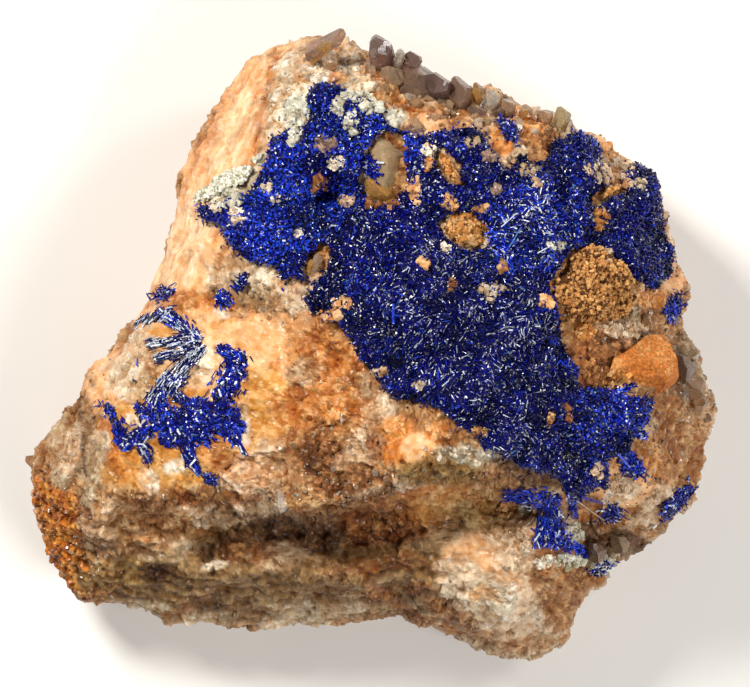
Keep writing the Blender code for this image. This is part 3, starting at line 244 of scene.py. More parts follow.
# Single long blades: start x, y, end x, y, half width, colour, and how high it lies. The steel and silver
# colours are painted sheen and painted glints.
LONG_BLADES = [
    (-23.55, 2.3, -23.85, -3.7, 0.24, NAVY, 0.35), (-23.3, 2.2, -23.6, -2.2, 0.10, AZURE, 0.45),
    (24.6, -11.1, 26.9, -12.8, 0.16, ULTRAMARINE, 0.3), (24.2, -10.9, 25.8, -12.7, 0.12, AZURE, 0.4),
    (25.4, -6.5, 28, -5.8, 0.13, ULTRAMARINE, 0.3), (27.1, -13, 28.2, -13.5, 0.13, NAVY, 0.3),
    (1.9, 2, 1.9, 4, 0.12, AZURE, 0.7), (19.9, -15.4, 23.2, -17.8, 0.07, (0.42, 0.34, 0.26), 0.3),
    (20.6, -15.2, 22.8, -15.9, 0.16, ULTRAMARINE, 0.4), (13.4, 9.6, 14.6, 11.6, 0.06, STEEL_SHEEN, 0.6),
    (12.6, 11.6, 14.2, 13, 0.05, SILVER_GLINT, 0.6), (16.2, 9, 17.6, 9.8, 0.05, SILVER_GLINT, 0.6),
]  # fmt: skip

# Small separate groups of blades: node, x, y, half length, half width, turn, share of painted sheen and
# glints.
TUFTS = [
    ("linarite_tuft_left_edge", -20.9, 4.9, 1.2, 0.7, 30, 0.3),
    ("linarite_tuft_upper_left", -14.9, 4.4, 0.9, 0.8, 0, 0),
    ("linarite_tuft_grey_quartz", -13.2, 6.2, 1, 0.6, 50, 0.35),
    ("linarite_tuft_wing", -26.3, -6.6, 1, 0.5, -50, 0.2),
    ("linarite_tuft_wing_foot", -16.2, -13.4, 0.8, 0.5, -30, 0.5),
    ("linarite_tuft_top_shelf", 13.4, 21.2, 1.7, 0.8, -62, 0.3),
    ("linarite_tuft_right_edge", 29.7, 3.6, 1.6, 1, 75, 0.1),
    ("linarite_tuft_pointed", 25.5, -12.2, 1.4, 0.9, -40, 0.3),
    ("linarite_tuft_lower_right", 30.2, -15.7, 2.4, 0.9, 45, 0.3),
    ("linarite_tuft_notch", 23.8, -16.7, 1.2, 0.8, 0, 0.4),
    ("linarite_tuft_foot", 22.6, -22.1, 1.3, 1, 0, 0.6),
]
DOME_TUFT = ("linarite_tuft_dome", -0.2, 17.6, 0.8, 1.3, 20, 0.5)

# Quartz that grows as druse: x, y, half length, half width, turn, crystals, size.
DRUSES = [
    (-6, 26, 5, 3, 30, 221, 1), (1, 26, 4, 3, -10, 195, 1.3), (6.4, 24.6, 3.8, 3.2, -20, 187, 1.3),
    (11.6, 23, 4.6, 2.8, -12, 204, 1.4), (18.6, 21.4, 4.6, 1.8, -25, 144, 0.9),
    (23.8, 18.4, 3.4, 2, -42, 68, 0.8), (-30.8, -19, 3.2, 6.8, 18, 357, 0.75),
    (-17, -15.2, 10, 0.9, 2, 187, 0.5), (-2, -14.4, 6, 1.4, 8, 187, 0.9), (-5, -9.6, 4, 3.6, 0, 144, 0.6),
    (-10.6, 4.8, 5.4, 2.6, -15, 110, 0.7), (-3.6, -2.6, 5, 4.2, -40, 110, 0.5),
    (26.6, -8, 4.6, 6, 0, 221, 0.8), (24.6, -15.4, 4.2, 2.6, 20, 136, 0.8),
    (31.4, -4.6, 2.4, 5, 10, 127, 1.2), (24.6, 2, 3, 2.4, 0, 110, 0.9), (30, 5, 1.6, 5, -10, 51, 0.6),
    (23, -21.6, 4, 1.8, -20, 93, 0.8), (16.4, -22, 3.4, 6, 20, 144, 0.6),
    (7.6, -11.8, 5, 1.8, 0, 136, 0.8), (-29.6, -10, 3, 5, -8, 68, 0.6), (-13.6, 15.4, 4, 1.6, 35, 76, 0.7),
    (-25, -4, 4, 3, 40, 76, 0.6), (-17, -10, 6, 4, 0, 93, 0.5),
]  # fmt: skip

# Other minerals that show among the blue: x, y, half length, half width, stain.
FLECKS = [
    (-3.6, 23.5, 0.8, 0.7, "greenish"), (-2.2, 22.2, 0.7, 1.2, "greenish"),
    (-0.2, 23.6, 1, 0.6, "greenish"), (-4.8, 19.9, 1.1, 0.8, "mauve"), (-3.7, 18.1, 1, 0.5, "white"),
    (-5.4, 16, 0.9, 0.7, "brown"), (-14.6, 14.4, 1.4, 0.8, "greenish"), (-13.4, 12.8, 1.1, 0.8, "white"),
    (-15.6, 13.8, 0.8, 0.6, "white"), (-7.8, 21.2, 0.8, 1.2, "greenish"), (11.6, 18.6, 1, 0.5, "mauve"),
    (9.6, 20, 0.7, 0.5, "pale_grey"), (24.6, 16, 1.2, 0.5, "peach"), (-2.8, 14.1, 0.8, 0.7, "beige"),
    (-11.4, 18.2, 0.6, 0.5, "greenish"), (-9.8, 14.5, 0.6, 0.4, "white"), (-10.7, 15.3, 0.5, 0.5, "white"),
    (5.6, 19.2, 0.9, 0.5, "white"), (7, 9.4, 0.5, 0.4, "white"), (4.2, 21.2, 0.8, 0.6, "mauve"),
    (4.1, 15.4, 0.5, 1.3, "peach"), (5.4, 17.8, 0.5, 0.8, "orange"), (11.6, 5.3, 1.2, 0.9, "pale_grey"),
    (12.7, 7.5, 0.5, 0.5, "tan"), (5.1, 8.1, 0.5, 0.4, "cream"), (7.8, 6, 0.4, 0.7, "brown"),
    (17, 4.1, 0.7, 0.5, "cream"), (-1.6, 24.6, 1.4, 0.5, "greenish"), (-3.2, 4, 1, 0.6, "peach"),
    (-4.4, 2.8, 1.2, 0.5, "peach"), (10.2, -8.8, 1.2, 0.4, "tan"), (17.4, -7.4, 0.3, 0.6, "ochre"),
    (19.2, -6.8, 0.2, 0.9, "brown"), (7.4, 14, 0.7, 0.9, "cream"), (15.4, 17.2, 1.3, 0.5, "pale_grey"),
    (14.6, 19.1, 0.7, 0.3, "pale_grey"), (0.4, -2.8, 0.6, 0.5, "beige"), (-7.4, 10.9, 0.5, 0.4, "white"),
    (22.5, 12.4, 0.7, 1.1, "ochre"), (26.2, 15.9, 0.7, 0.5, "pale_grey"),
    (23.4, 8.7, 0.4, 0.7, "pale_grey"), (25.9, 5.8, 0.5, 0.6, "tan"), (27.7, 4.9, 1.1, 0.6, "peach"),
    (4.4, -4, 0.5, 0.4, "pale_grey"), (18, 9.8, 1, 0.4, "greenish"), (16.2, 16, 0.5, 0.3, "beige"),
    (23.4, 17.4, 2.6, 1.2, "pale_beige"), (23.9, 19.4, 1, 1.2, "cream"), (24.4, 17.2, 0.8, 0.5, "peach"),
    (22, -2.4, 1.6, 1.6, "brown"), (24, -3.6, 1.4, 1, "ochre"), (25, 1.4, 2.2, 0.8, "pale_beige"),
    (21, 1.2, 1, 0.8, "ochre"), (9.2, 11.4, 2.2, 1.6, "ochre"), (27.6, 4.6, 1.4, 0.7, "ochre"),
    (1, 13.9, 1.8, 0.5, "brown"), (15, -16.6, 0.5, 0.7, "greenish"), (20, -18.8, 0.8, 1.2, "greenish"),
    (15, -19.4, 0.5, 1.4, "pale_beige"), (22.8, -22.2, 1.5, 1, "greenish"),
    (19.4, -21.6, 1.8, 0.7, "greenish"), (17, -21.8, 1.2, 0.6, "white"), (20.6, -23.4, 1.2, 0.6, "tan"),
    (24.6, -14, 1.4, 0.8, "pale_beige"), (22.2, -12.6, 0.4, 0.9, "pale_beige"),
    (13.2, -16.6, 0.8, 0.7, "tan"), (10.6, 13.4, 0.7, 0.4, "tan"), (12.2, 15.2, 0.4, 0.4, "mauve"),
    (23.9, 15, 1, 0.5, "ochre"),
]  # fmt: skip

# Colours of the earthy masses: deep, middle and bright.
OCHRE = ((0.11, 0.035, 0.006), (0.50, 0.20, 0.05), (0.70, 0.38, 0.13))
KNOB = ((0.22, 0.08, 0.015), (0.60, 0.27, 0.08), (0.74, 0.44, 0.18))
BRIGHT_OCHRE = ((0.34, 0.10, 0.015), (0.64, 0.24, 0.05), (0.74, 0.38, 0.12))
BLOCK = ((0.34, 0.09, 0.011), (0.50, 0.15, 0.019), (0.68, 0.33, 0.11))
POWDER = ((0.46, 0.44, 0.30), (0.78, 0.77, 0.64), (0.88, 0.87, 0.78))
# The masses: piece, node, slot, colours, grain, rise, rounding, widening, loose grains, level of detail.
MASSES = [
    ("limonite_sponge_mass", "limonite_sponge", "limonite", OCHRE, 0.55, 1.0, 0.3, 1.09, 1500, 4),
    ("limonite_knob_mass", "limonite_knob", "limonite", KNOB, 0.55, 0.7, 0.3, 1.1, 260, 3),
    ("limonite_ribbon_mass", "limonite_ribbon", "limonite", BRIGHT_OCHRE, 0.5, 0.6, 0.3, 1.1, 120, 3),
    ("limonite_ribbon_right_mass", "limonite_ribbon_right", "limonite", KNOB, 0.5, 0.6, 0.3, 1.2, 120, 3),
    ("limonite_block_mass", "limonite_block", "limonite", BLOCK, 0.6, 0.16, 0.0, 1.0, 0, 4),
    ("pale_green_powder_mass", "pale_green_crust", "pale_green", POWDER, 0.5, 0.5, 0.3, 1.0, 300, 3),
]
# Flat broken faces of a mass: their direction, and how far out they lie.
BROKEN_FACES = {
    "limonite_block": [
        ((-0.42, 0.30, 0.85), 0.76), ((0.62, 0.12, 0.75), 0.76), ((0.10, -0.66, 0.72), 0.78),
    ],
}  # fmt: skip

# Tints of the quartz crystals.
VIOLET, MAUVE, BEIGE, HONEY, WHITE, GREEN, CLEAR = (
    (0.32, 0.20, 0.17), (0.48, 0.31, 0.22), (0.72, 0.50, 0.32), (0.76, 0.42, 0.13),
    (0.94, 0.84, 0.70), (0.76, 0.62, 0.36), (0.88, 0.66, 0.38),
)  # fmt: skip
# The crystals by the node that they replace: foot x, y, z, tip x, y, z, radius, flatness, turn, tint.
CRYSTALS = {
    "quartz_crown": [
        (1.2, 27.4, 20, 0.2, 30.9, 24.4, 1.40, 1, 12, VIOLET),
        (3.2, 27, 20, 4.4, 29.3, 23.8, 1.05, 0.9, 30, VIOLET),
        (2.2, 27.6, 20.5, 2.7, 29.5, 24, 0.60, 1, 0, WHITE),
        (3.9, 24.4, 19, 4.2, 27, 25.4, 2.50, 0.85, 20, MAUVE),
        (1.8, 25.2, 20, 2, 27.4, 24.6, 1.50, 0.9, 45, BEIGE),
        (6.2, 23.6, 19.4, 6.4, 27.4, 25, 1.55, 0.8, 75, VIOLET),
        (8.5, 23.6, 18.8, 8.7, 26.4, 23.8, 1.30, 0.9, 35, MAUVE),
        (10, 21.4, 18.6, 9.8, 24, 23.8, 2.40, 0.8, 10, MAUVE),
        (6.9, 22.6, 19.8, 6.6, 24.4, 23.4, 0.90, 1, 50, BEIGE),
        (-0.2, 26.2, 20, -0.6, 28, 23.4, 0.90, 0.9, 15, BEIGE),
        (9.8, 23.8, 18.8, 10.6, 25.7, 23.2, 0.80, 1, 25, HONEY),
    ],
    "quartz_plate": [
        (-6.6, 28.9, 21.6, -1.9, 31.1, 24.8, 0.95, 0.55, 0, MAUVE),
        (-6.2, 28.3, 21.4, -3.8, 30.4, 24.6, 0.70, 0.8, 30, HONEY),
        (-4.4, 27.6, 21.4, -4.6, 29.4, 24.4, 0.90, 0.9, 10, BEIGE),
    ],
    "quartz_shoulder": [
        (11.7, 22.8, 17.6, 11.8, 25.2, 23.4, 0.90, 1, 15, WHITE),
        (13.2, 22.4, 17.6, 13.4, 24.6, 22.8, 0.95, 0.9, 45, BEIGE),
        (14.9, 21.8, 17.6, 15.1, 23.8, 22.2, 0.80, 1, 20, HONEY),
        (12.4, 22, 18, 12.2, 23.6, 22.6, 0.80, 0.9, 5, MAUVE),
    ],
    "quartz_green": [
        (18.4, 21.2, 17, 19.2, 23.5, 21.4, 1.00, 0.9, 20, GREEN),
        (16.9, 21.6, 17.2, 17.2, 23.5, 21.4, 0.80, 1, 40, BEIGE),
    ],
    "quartz_dome": [
        (1.1, 17.8, 24.4, 1.3, 18.5, 29.2, 4.2, 0.98, 20, CLEAR),
        (1.1, 15.4, 24.6, 1.1, 14.7, 28.2, 2.8, 0.85, 40, HONEY),
        (3.8, 18.4, 25.6, 4.2, 19.2, 28.6, 1.30, 0.9, 10, MAUVE),
        (-1.4, 19.4, 25.6, -1.2, 19.8, 27.8, 0.90, 0.9, 40, BEIGE),
        (3, 15.4, 25.2, 3.4, 15.6, 27.8, 0.90, 0.9, 10, HONEY),
    ],
    "quartz_lens": [
        (-6, 7, 26.2, -5.3, 9.4, 28, 0.85, 0.7, 0, BEIGE),
        (-6.5, 6.8, 26.2, -6, 8.8, 27.6, 0.60, 0.8, 30, HONEY),
    ],
    "quartz_ledge_point": [(-7.9, -14.4, 24.4, -9.9, -16.9, 27.2, 1.15, 0.9, 10, WHITE)],
    "quartz_ledge": [
        (-7.2, -14.4, 24.4, -7.7, -15.9, 27.4, 1.00, 1, 0, CLEAR),
        (-5, -14.2, 24.6, -4.4, -15.6, 27.2, 0.60, 0.9, 50, BEIGE),
    ],
    "quartz_right": [
        (30.4, -2, 13, 31.4, -2.8, 19.8, 1.50, 0.9, 10, MAUVE),
        (31, -3.6, 12, 32.4, -4.6, 17.8, 1.4, 1, 40, BEIGE),
        (30, -4.6, 14, 30.8, -5.2, 18.4, 1.10, 0.9, 25, MAUVE),
        (32, -5.2, 12.4, 33, -6.4, 16.2, 0.80, 1, 0, BEIGE),
    ],
    "quartz_notch": [
        (22.6, -20.2, 11.6, 22.2, -21.2, 17.2, 1.15, 1, 20, MAUVE),
        (24.2, -19.4, 11, 24.8, -20.2, 16.4, 1.1, 1, 0, BEIGE),
        (21.4, -20.8, 12, 21.4, -22.2, 15.6, 0.80, 0.9, 30, GREEN),
    ],
}  # fmt: skip


def to_plan(points):
    """Plan millimetres of points in the specimen's frame."""
    return (points - PLAN_SHIFT)[:, :2] / MM


def from_plan(x, y):
    return x * MM + PLAN_SHIFT[0], y * MM + PLAN_SHIFT[1]


def chance(cells, seed):
    """A repeatable number from 0 to 1 for each whole-numbered cell."""
    n = cells.astype(np.int64)
    mixed = n[..., 0] * 374761393 + n[..., 1] * 668265263 + n[..., 2] * 1103515245 + seed * 1274126177
    mixed = (mixed ^ (mixed >> 13)) * 1274126177
    mixed = (mixed ^ (mixed >> 16)) * 668265263
    return ((mixed ^ (mixed >> 15)) & 0xFFFFFF) / 0xFFFFFF


def drift(points, size, seed):
    """Smooth noise between -1 and 1 whose bumps are as wide as size. Each seed has a pattern of its own."""
    p = points / size
    cell = np.floor(p)
    part = p - cell
    part = part * part * (3 - 2 * part)
    total = np.zeros(len(p))
    for corner in np.ndindex(2, 2, 2):
        step = np.array(corner)
        total += np.prod(np.where(step, part, 1 - part), axis=1) * chance(cell + step, seed)
    return total * 2 - 1


def grains(points, size, seed):
    """Each point's grain: a number from 0 to 1, how high its face lies there, and how near its border is."""
    p = points / size
    home = np.floor(p)
    nearest, second = np.full(len(p), np.inf), np.full(len(p), np.inf)
    offset, middle = np.zeros_like(p), np.zeros_like(p)
    for corner in np.ndindex(3, 3, 3):
        cell = home + np.array(corner) - 1
        away = p - cell - np.stack([chance(cell, seed + k) for k in range(3)], axis=1)
        distance = (away**2).sum(1)
        nearer = distance < nearest
        second = np.where(nearer, nearest, np.minimum(second, distance))
        nearest[nearer], offset[nearer], middle[nearer] = distance[nearer], away[nearer], cell[nearer]
    lean = np.stack([chance(middle, seed + 5 + k) for k in range(3)], axis=1) * 2 - 1
    number = chance(middle, seed + 4)
    return number, (offset * lean).sum(1) * 1.3 + number - 0.5, np.sqrt(second) - np.sqrt(nearest)


def smooth_step(low, high, value):
    share = np.clip((value - low) / (high - low), 0, 1)
    return share * share * (3 - 2 * share)


def cover(plan, wobble, x, y, half_length, half_width, turn):
    """How much of an oval patch lies over each plan point, 0 to 1."""
    a = math.radians(turn)
    away = plan - (x, y)
    along = (away[:, 0] * math.cos(a) + away[:, 1] * math.sin(a)) / half_length
    across = (away[:, 1] * math.cos(a) - away[:, 0] * math.sin(a)) / half_width
    return 1 - smooth_step(0.8, 1.25, np.hypot(along, across) * (1 + wobble))


def patches(points, table, ground, seed):
    """The value of the patches that lie over each point, and the ground's value beside them."""
    plan = to_plan(points)
    wobble = 0.35 * drift(points, 1.7 * MM, seed)
    value = np.full(len(points), ground)
    for x, y, half_length, half_width, turn, share in table:
        value += cover(plan, wobble, x, y, half_length, half_width, turn) * (share - value)
    return np.clip(value + 0.12 * drift(points, 2.4 * MM, seed + 1), 0, 1)


def grain_colour(stain_and_painted_light, number):
    """The stain's colour for each grain number."""
    return np.array(STAIN_COLOURS[stain_and_painted_light])[np.digitize(number, (0.55, 0.85))]


def stained(points):
    """Colour and roughness of the rock at each point."""
    plan = to_plan(points)
    wobble = 0.28 * drift(points, 2.6 * MM, 21) + 0.25 * drift(points, 1.0 * MM, 22)
    number, _, _ = grains(points, 0.62 * MM, 31)
    block, _, _ = grains(points, 1.5 * MM, 41)
    ground = smooth_step(-0.1, 0.3, drift(points, 6 * MM, 51))[:, None]
    colour = grain_colour("tan", number) * (1 - ground) + grain_colour("pale_beige", number) * ground
    relief = np.full(len(points), STAIN_RELIEF["tan"])
    for stain_and_painted_light, x, y, half_length, half_width, turn, strength in STAINS:
        near = np.hypot(plan[:, 0] - x, plan[:, 1] - y) < 2.4 * max(half_length, half_width)
        share = strength * cover(plan[near], wobble[near], x, y, half_length, half_width, turn)
        colour[near] += share[:, None] * (grain_colour(stain_and_painted_light, number[near]) - colour[near])
        relief[near] += share * (STAIN_RELIEF[stain_and_painted_light] - relief[near])
    rusty = smooth_step(0.35, 0.75, drift(points, 1.9 * MM, 62) + 0.4 * drift(points, 0.7 * MM, 63))
    rusty *= np.clip(relief, 0.2, 1.0)
    colour *= 1 - rusty[:, None] * (0.12, 0.32, 0.5)
    colour *= (0.84 + 0.24 * block + 0.14 * drift(points, 0.5 * MM, 61))[:, None]
    return np.clip(colour, 0, 0.95), relief


def mottled(points):
    """Colour of the rock's steep sides and back, which the stains of the display face don't reach."""
    number, _, _ = grains(points, 0.7 * MM, 35)
    pale = smooth_step(-0.3, 0.4, drift(points, 5 * MM, 53))[:, None]
    dark = smooth_step(0.15, 0.6, drift(points, 3 * MM, 54) + 0.5 * drift(points, 1.2 * MM, 55))[:, None]
    colour = grain_colour("tan", number) * (1 - pale) + grain_colour("pale_beige", number) * pale
    return colour + dark * (grain_colour("brown", number) - colour)


def merged_copy(node):
    bm = bmesh.new()
    bm.from_mesh(nodes[node].data)
    bmesh.ops.remove_doubles(bm, verts=bm.verts, dist=0.001 * MM)
    return bm


def refine(bm, smooth):
    """Halves the edges of each face as often as its "detail" layer says."""
    detail = bm.faces.layers.int["detail"]
    for level in range(1, max(f[detail] for f in bm.faces) + 1):
        edges = list({e for f in bm.faces if f[detail] >= level for e in f.edges})
        bmesh.ops.subdivide_edges(bm, edges=edges, cuts=1, use_grid_fill=True, smooth=smooth)
        bmesh.ops.triangulate(bm, faces=[f for f in bm.faces if len(f.verts) > 3])
    bmesh.ops.recalc_face_normals(bm, faces=bm.faces)


def points_of(mesh, kind="co"):
    values = np.empty(len(mesh.vertices) * 3, np.float32)
    mesh.vertices.foreach_get(kind, values)
    return values.reshape(-1, 3).astype(float)


def move_points(mesh, points):
    mesh.vertices.foreach_set("co", points.astype(np.float32).ravel())
    mesh.update()


def set_colour(mesh, colour, rough=None):
    """Colours a mesh at each point with its stains and any painted light or shade, and says how rough it
    looks there, 0 to 1.
    """
    layer = mesh.color_attributes.new("stain_and_painted_light", "FLOAT_COLOR", "POINT")
    rough = np.ones(len(colour)) if rough is None else rough
    layer.data.foreach_set("color", np.c_[colour, rough].astype(np.float32).ravel())


def new_piece(name, mesh, finish, slot, *replaced):
    mesh.materials.clear()
    mesh.materials.append(finish)
    piece = bpy.data.objects.new(name, mesh)
    bpy.context.scene.collection.objects.link(piece)
    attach(piece, "root")
    if replaced:
        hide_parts(*replaced)
    return piece


def mesh_from(name, bm):
    mesh = bpy.data.meshes.new(name)
    bm.to_mesh(mesh)
    bm.free()
    return mesh


def surface_of(mesh):
    """First corners, both edge directions from them, outward directions and areas of a mesh's triangles."""
    mesh.calc_loop_triangles()
    corners = np.empty(len(mesh.loop_triangles) * 3, np.int32)
    mesh.loop_triangles.foreach_get("vertices", corners)
    a, b, c = points_of(mesh)[corners.reshape(-1, 3)].transpose(1, 0, 2)
    normal = np.cross(b - a, c - a)
    size = np.linalg.norm(normal, axis=1)
    return a, b - a, c - a, normal / np.maximum(size, 1e-15)[:, None], size / 2


def spread(surface, weight, count):
    """Random points on a surface, thicker where the weight is larger, and the surface's direction there."""
    first, to_second, to_third, normal, area = surface
    share = area * weight
    chosen = dice.choice(len(area), count, p=share / share.sum())
    a, b = dice.random(count), dice.random(count)
    flip = a + b > 1
    a[flip], b[flip] = 1 - a[flip], 1 - b[flip]
    return first[chosen] + a[:, None] * to_second[chosen] + b[:, None] * to_third[chosen], normal[chosen]


def shape_of(bm):
    """Points and triangles of a small shape that is repeated."""
    bmesh.ops.triangulate(bm, faces=bm.faces)
    bmesh.ops.recalc_face_normals(bm, faces=bm.faces)
    bm.verts.index_update()
    points = np.array([v.co[:] for v in bm.verts])
    corners = np.array([[v.index for v in f.verts] for f in bm.faces])
    bm.free()
    return points, corners


def lath():
    """A flat blade along Z with a chisel end, 2 long, 2 wide and 2 thick before it is sized."""
    bm = bmesh.new()
    bmesh.ops.create_cube(bm, size=2.0)
    for v in bm.verts:
        if v.co.z > 0:
            v.co.y *= 0.35
            v.co.x *= 0.8
    return shape_of(bm)


def cut_off(bm, distance, way, middle=(0, 0, 0)):
    """Cuts away what lies beyond a plane at a distance from the middle, and closes the shape."""
    way = Vector(way).normalized()
    everything = bm.verts[:] + bm.edges[:] + bm.faces[:]
    place = Vector(middle) + way * distance
    cut = bmesh.ops.bisect_plane(bm, geom=everything, plane_co=place, plane_no=way, clear_outer=True)
    rim = [part for part in cut["geom_cut"] if isinstance(part, bmesh.types.BMEdge)]
    if rim:
        bmesh.ops.edgeloop_fill(bm, edges=rim)


def quartz_shape(slender, luck):
    """A quartz crystal along Z from -1 to 1 with six uneven sides and an uneven point."""
    bm = bmesh.new()
    bmesh.ops.create_cube(bm, size=2.0)
    for k in range(6):
        a = math.radians(60 * k + luck.normal(0, 14))
        cut_off(bm, luck.uniform(0.55, 0.95), (math.cos(a), math.sin(a), luck.normal(0, 0.12)))
    steep = 1.27 / slender
    for k in range(6):
        a = math.radians(60 * k + luck.normal(0, 12))
        reach = luck.uniform(0.55, 0.8) if k % 3 else luck.uniform(0.8, 1.1)
        cut_off(bm, reach / math.hypot(1, 1 / steep) / steep, (math.cos(a), math.sin(a), 1 / steep))
    return shape_of(bm)


def grain_shape(cuts):
    """A grain with flat broken faces."""
    bm = bmesh.new()
    bmesh.ops.create_cube(bm, size=1.7)
    for _ in range(cuts):
        cut_off(bm, dice.uniform(0.7, 0.95), dice.normal(0, 1, 3))
    return shape_of(bm)


def unit(vectors):
    return vectors / np.maximum(np.linalg.norm(vectors, axis=1), 1e-12)[:, None]


def turned(along, up):
    """Rotation matrices whose third axis is along, and whose second lies as near up as it can."""
    third = unit(along)
    first = unit(np.cross(up, third) + 1e-9)
    second = np.cross(third, first)
    return np.stack([first, second, third], axis=2)


def joined(name, shapes, places, turns, sizes, colours):
    """One mesh of many small shapes, taken in turn, each with its own place, turn, size and colour."""
    points, corners, point_colours, start, step = [], [], [], 0, len(shapes)
    for k, (shape, triangles) in enumerate(shapes):
        sized = shape[None] * sizes[k::step, None]
        placed = np.einsum("nij,nkj->nki", turns[k::step], sized) + places[k::step, None]
        firsts = start + np.arange(len(placed)) * len(shape)
        points.append(placed.reshape(-1, 3))
        corners.append((triangles[None] + firsts[:, None, None]).reshape(-1, 3))
        point_colours.append(np.repeat(colours[k::step], len(shape), axis=0))
        start += len(placed) * len(shape)
    corners = np.concatenate(corners)
    mesh = bpy.data.meshes.new(name)
    mesh.vertices.add(start)
    mesh.vertices.foreach_set("co", np.concatenate(points).astype(np.float32).ravel())
    mesh.loops.add(corners.size)
    mesh.loops.foreach_set("vertex_index", corners.astype(np.int32).ravel())
    mesh.polygons.add(len(corners))
    mesh.polygons.foreach_set("loop_start", np.arange(0, corners.size, 3, dtype=np.int32))
    mesh.update(calc_edges=True)
    mesh.validate()
    mesh.shade_flat()
    set_colour(mesh, np.clip(np.concatenate(point_colours), 0, 0.95))
    return mesh


def finish_of(name, roughness, uneven, grain, slope, ior=1.5, see_through=0.0, absorbed=None, density=0):
    """A finish that takes its colour from the piece's stains and painted light and shade, on small faces that
    each lean a little.
    """
    made = bpy.data.materials.new(name)
    made.use_nodes = True
    parts, links = made.node_tree.nodes, made.node_tree.links
    shader = parts["Principled BSDF"]
    place = parts.new("ShaderNodeTexCoord").outputs["Object"]
    faces = parts.new("ShaderNodeTexVoronoi")
    faces.inputs["Scale"].default_value = 1 / grain
    links.new(place, faces.inputs["Vector"])

    def vector_math(operation, first, second):
        step = parts.new("ShaderNodeVectorMath")
        step.operation = operation
        links.new(first, step.inputs[0])
        if isinstance(second, tuple):
            step.inputs[1].default_value = second
        else:
            links.new(second, step.inputs[1])
        return step

    def spread_over(source, low, high, to_low, to_high):
        scale = parts.new("ShaderNodeMapRange")
        links.new(source, scale.inputs["Value"])
        for socket, value in zip(("From Min", "From Max", "To Min", "To Max"), (low, high, to_low, to_high)):
            scale.inputs[socket].default_value = value
        return scale.outputs["Result"]

    split = parts.new("ShaderNodeSeparateColor")
    links.new(faces.outputs["Color"], split.inputs["Color"])
    fine = parts.new("ShaderNodeTexNoise")
    fine.inputs["Scale"].default_value = 0.7 / grain
    fine.inputs["Detail"].default_value = 5.0
    fine.inputs["Roughness"].default_value = 0.7
    links.new(place, fine.inputs["Vector"])
    stain_and_painted_light = parts.new("ShaderNodeAttribute")
    stain_and_painted_light.attribute_name = "stain_and_painted_light"
    per_face = vector_math("SCALE", stain_and_painted_light.outputs["Color"], (0, 0, 0))
    links.new(spread_over(split.outputs["Red"], 0, 1, 0.82, 1.14), per_face.inputs["Scale"])
    tint = vector_math("SCALE", per_face.outputs["Vector"], (0, 0, 0))
    links.new(spread_over(fine.outputs["Fac"], 0.3, 0.7, 0.74, 1.22), tint.inputs["Scale"])
    broken = parts.new("ShaderNodeMix")
    broken.data_type = "RGBA"
    links.new(stain_and_painted_light.outputs["Alpha"], broken.inputs[0])
    links.new(stain_and_painted_light.outputs["Color"], broken.inputs[6])
    links.new(tint.outputs["Vector"], broken.inputs[7])
    links.new(broken.outputs[2], shader.inputs["Base Color"])
    rough = spread_over(split.outputs["Green"], 0, 1, roughness - uneven, roughness + uneven)
    links.new(rough, shader.inputs["Roughness"])
    if slope:
        away = vector_math("SUBTRACT", place, faces.outputs["Position"])
        lean = vector_math("SUBTRACT", faces.outputs["Color"], (0.5, 0.5, 0.5))
        height = vector_math("DOT_PRODUCT", away.outputs["Vector"], lean.outputs["Vector"])
        raised = parts.new("ShaderNodeBump")
        raised.inputs["Distance"].default_value = slope
        links.new(height.outputs["Value"], raised.inputs["Height"])
        links.new(stain_and_painted_light.outputs["Alpha"], raised.inputs["Strength"])
        links.new(raised.outputs["Normal"], shader.inputs["Normal"])
    shader.inputs["IOR"].default_value = ior
    shader.inputs["Transmission Weight"].default_value = see_through
    if absorbed:
        inner = parts.new("ShaderNodeVolumeAbsorption")
        inner.inputs["Color"].default_value = (*absorbed, 1)
        inner.inputs["Density"].default_value = density
        links.new(inner.outputs["Volume"], parts["Material Output"].inputs["Volume"])
    return made


# Each finish: name, roughness, how uneven it is, width of its small faces, how far they lean, and optics.
ROCK = finish_of("rock_quartz", 0.5, 0.25, 0.34 * MM, 1.3, ior=1.36)
DRUSE = finish_of("rock_druse", 0.22, 0.14, 0.5 * MM, 0.3, ior=1.54, see_through=0.45)
LINARITE = finish_of("linarite_blades", 0.15, 0.09, 0.2 * MM, 0.5, ior=1.52)
LIMONITE = finish_of("limonite_earth", 0.75, 0.15, 0.2 * MM, 1.2, ior=1.4)
PALE_GREEN = finish_of("pale_green_powder", 0.8, 0.1, 0.22 * MM, 1.0, ior=1.4)
EARTHS = {"limonite": LIMONITE, "pale_green": PALE_GREEN}
QUARTZ = finish_of("quartz_clear", 0.28, 0.12, 0.7 * MM, 0.25, 1.5, 0.75, (0.86, 0.66, 0.46), 90)
CLOUDY = finish_of("quartz_cloudy", 0.14, 0.07, 0.9 * MM, 0.15, 1.5, 0.65, (0.92, 0.76, 0.50), 70)

# Small shapes that are repeated by the thousand.
LATH = [lath()]
POINTS = [quartz_shape(1.3, dice) for _ in range(6)]
GRAINS = [grain_shape(3) for _ in range(6)]


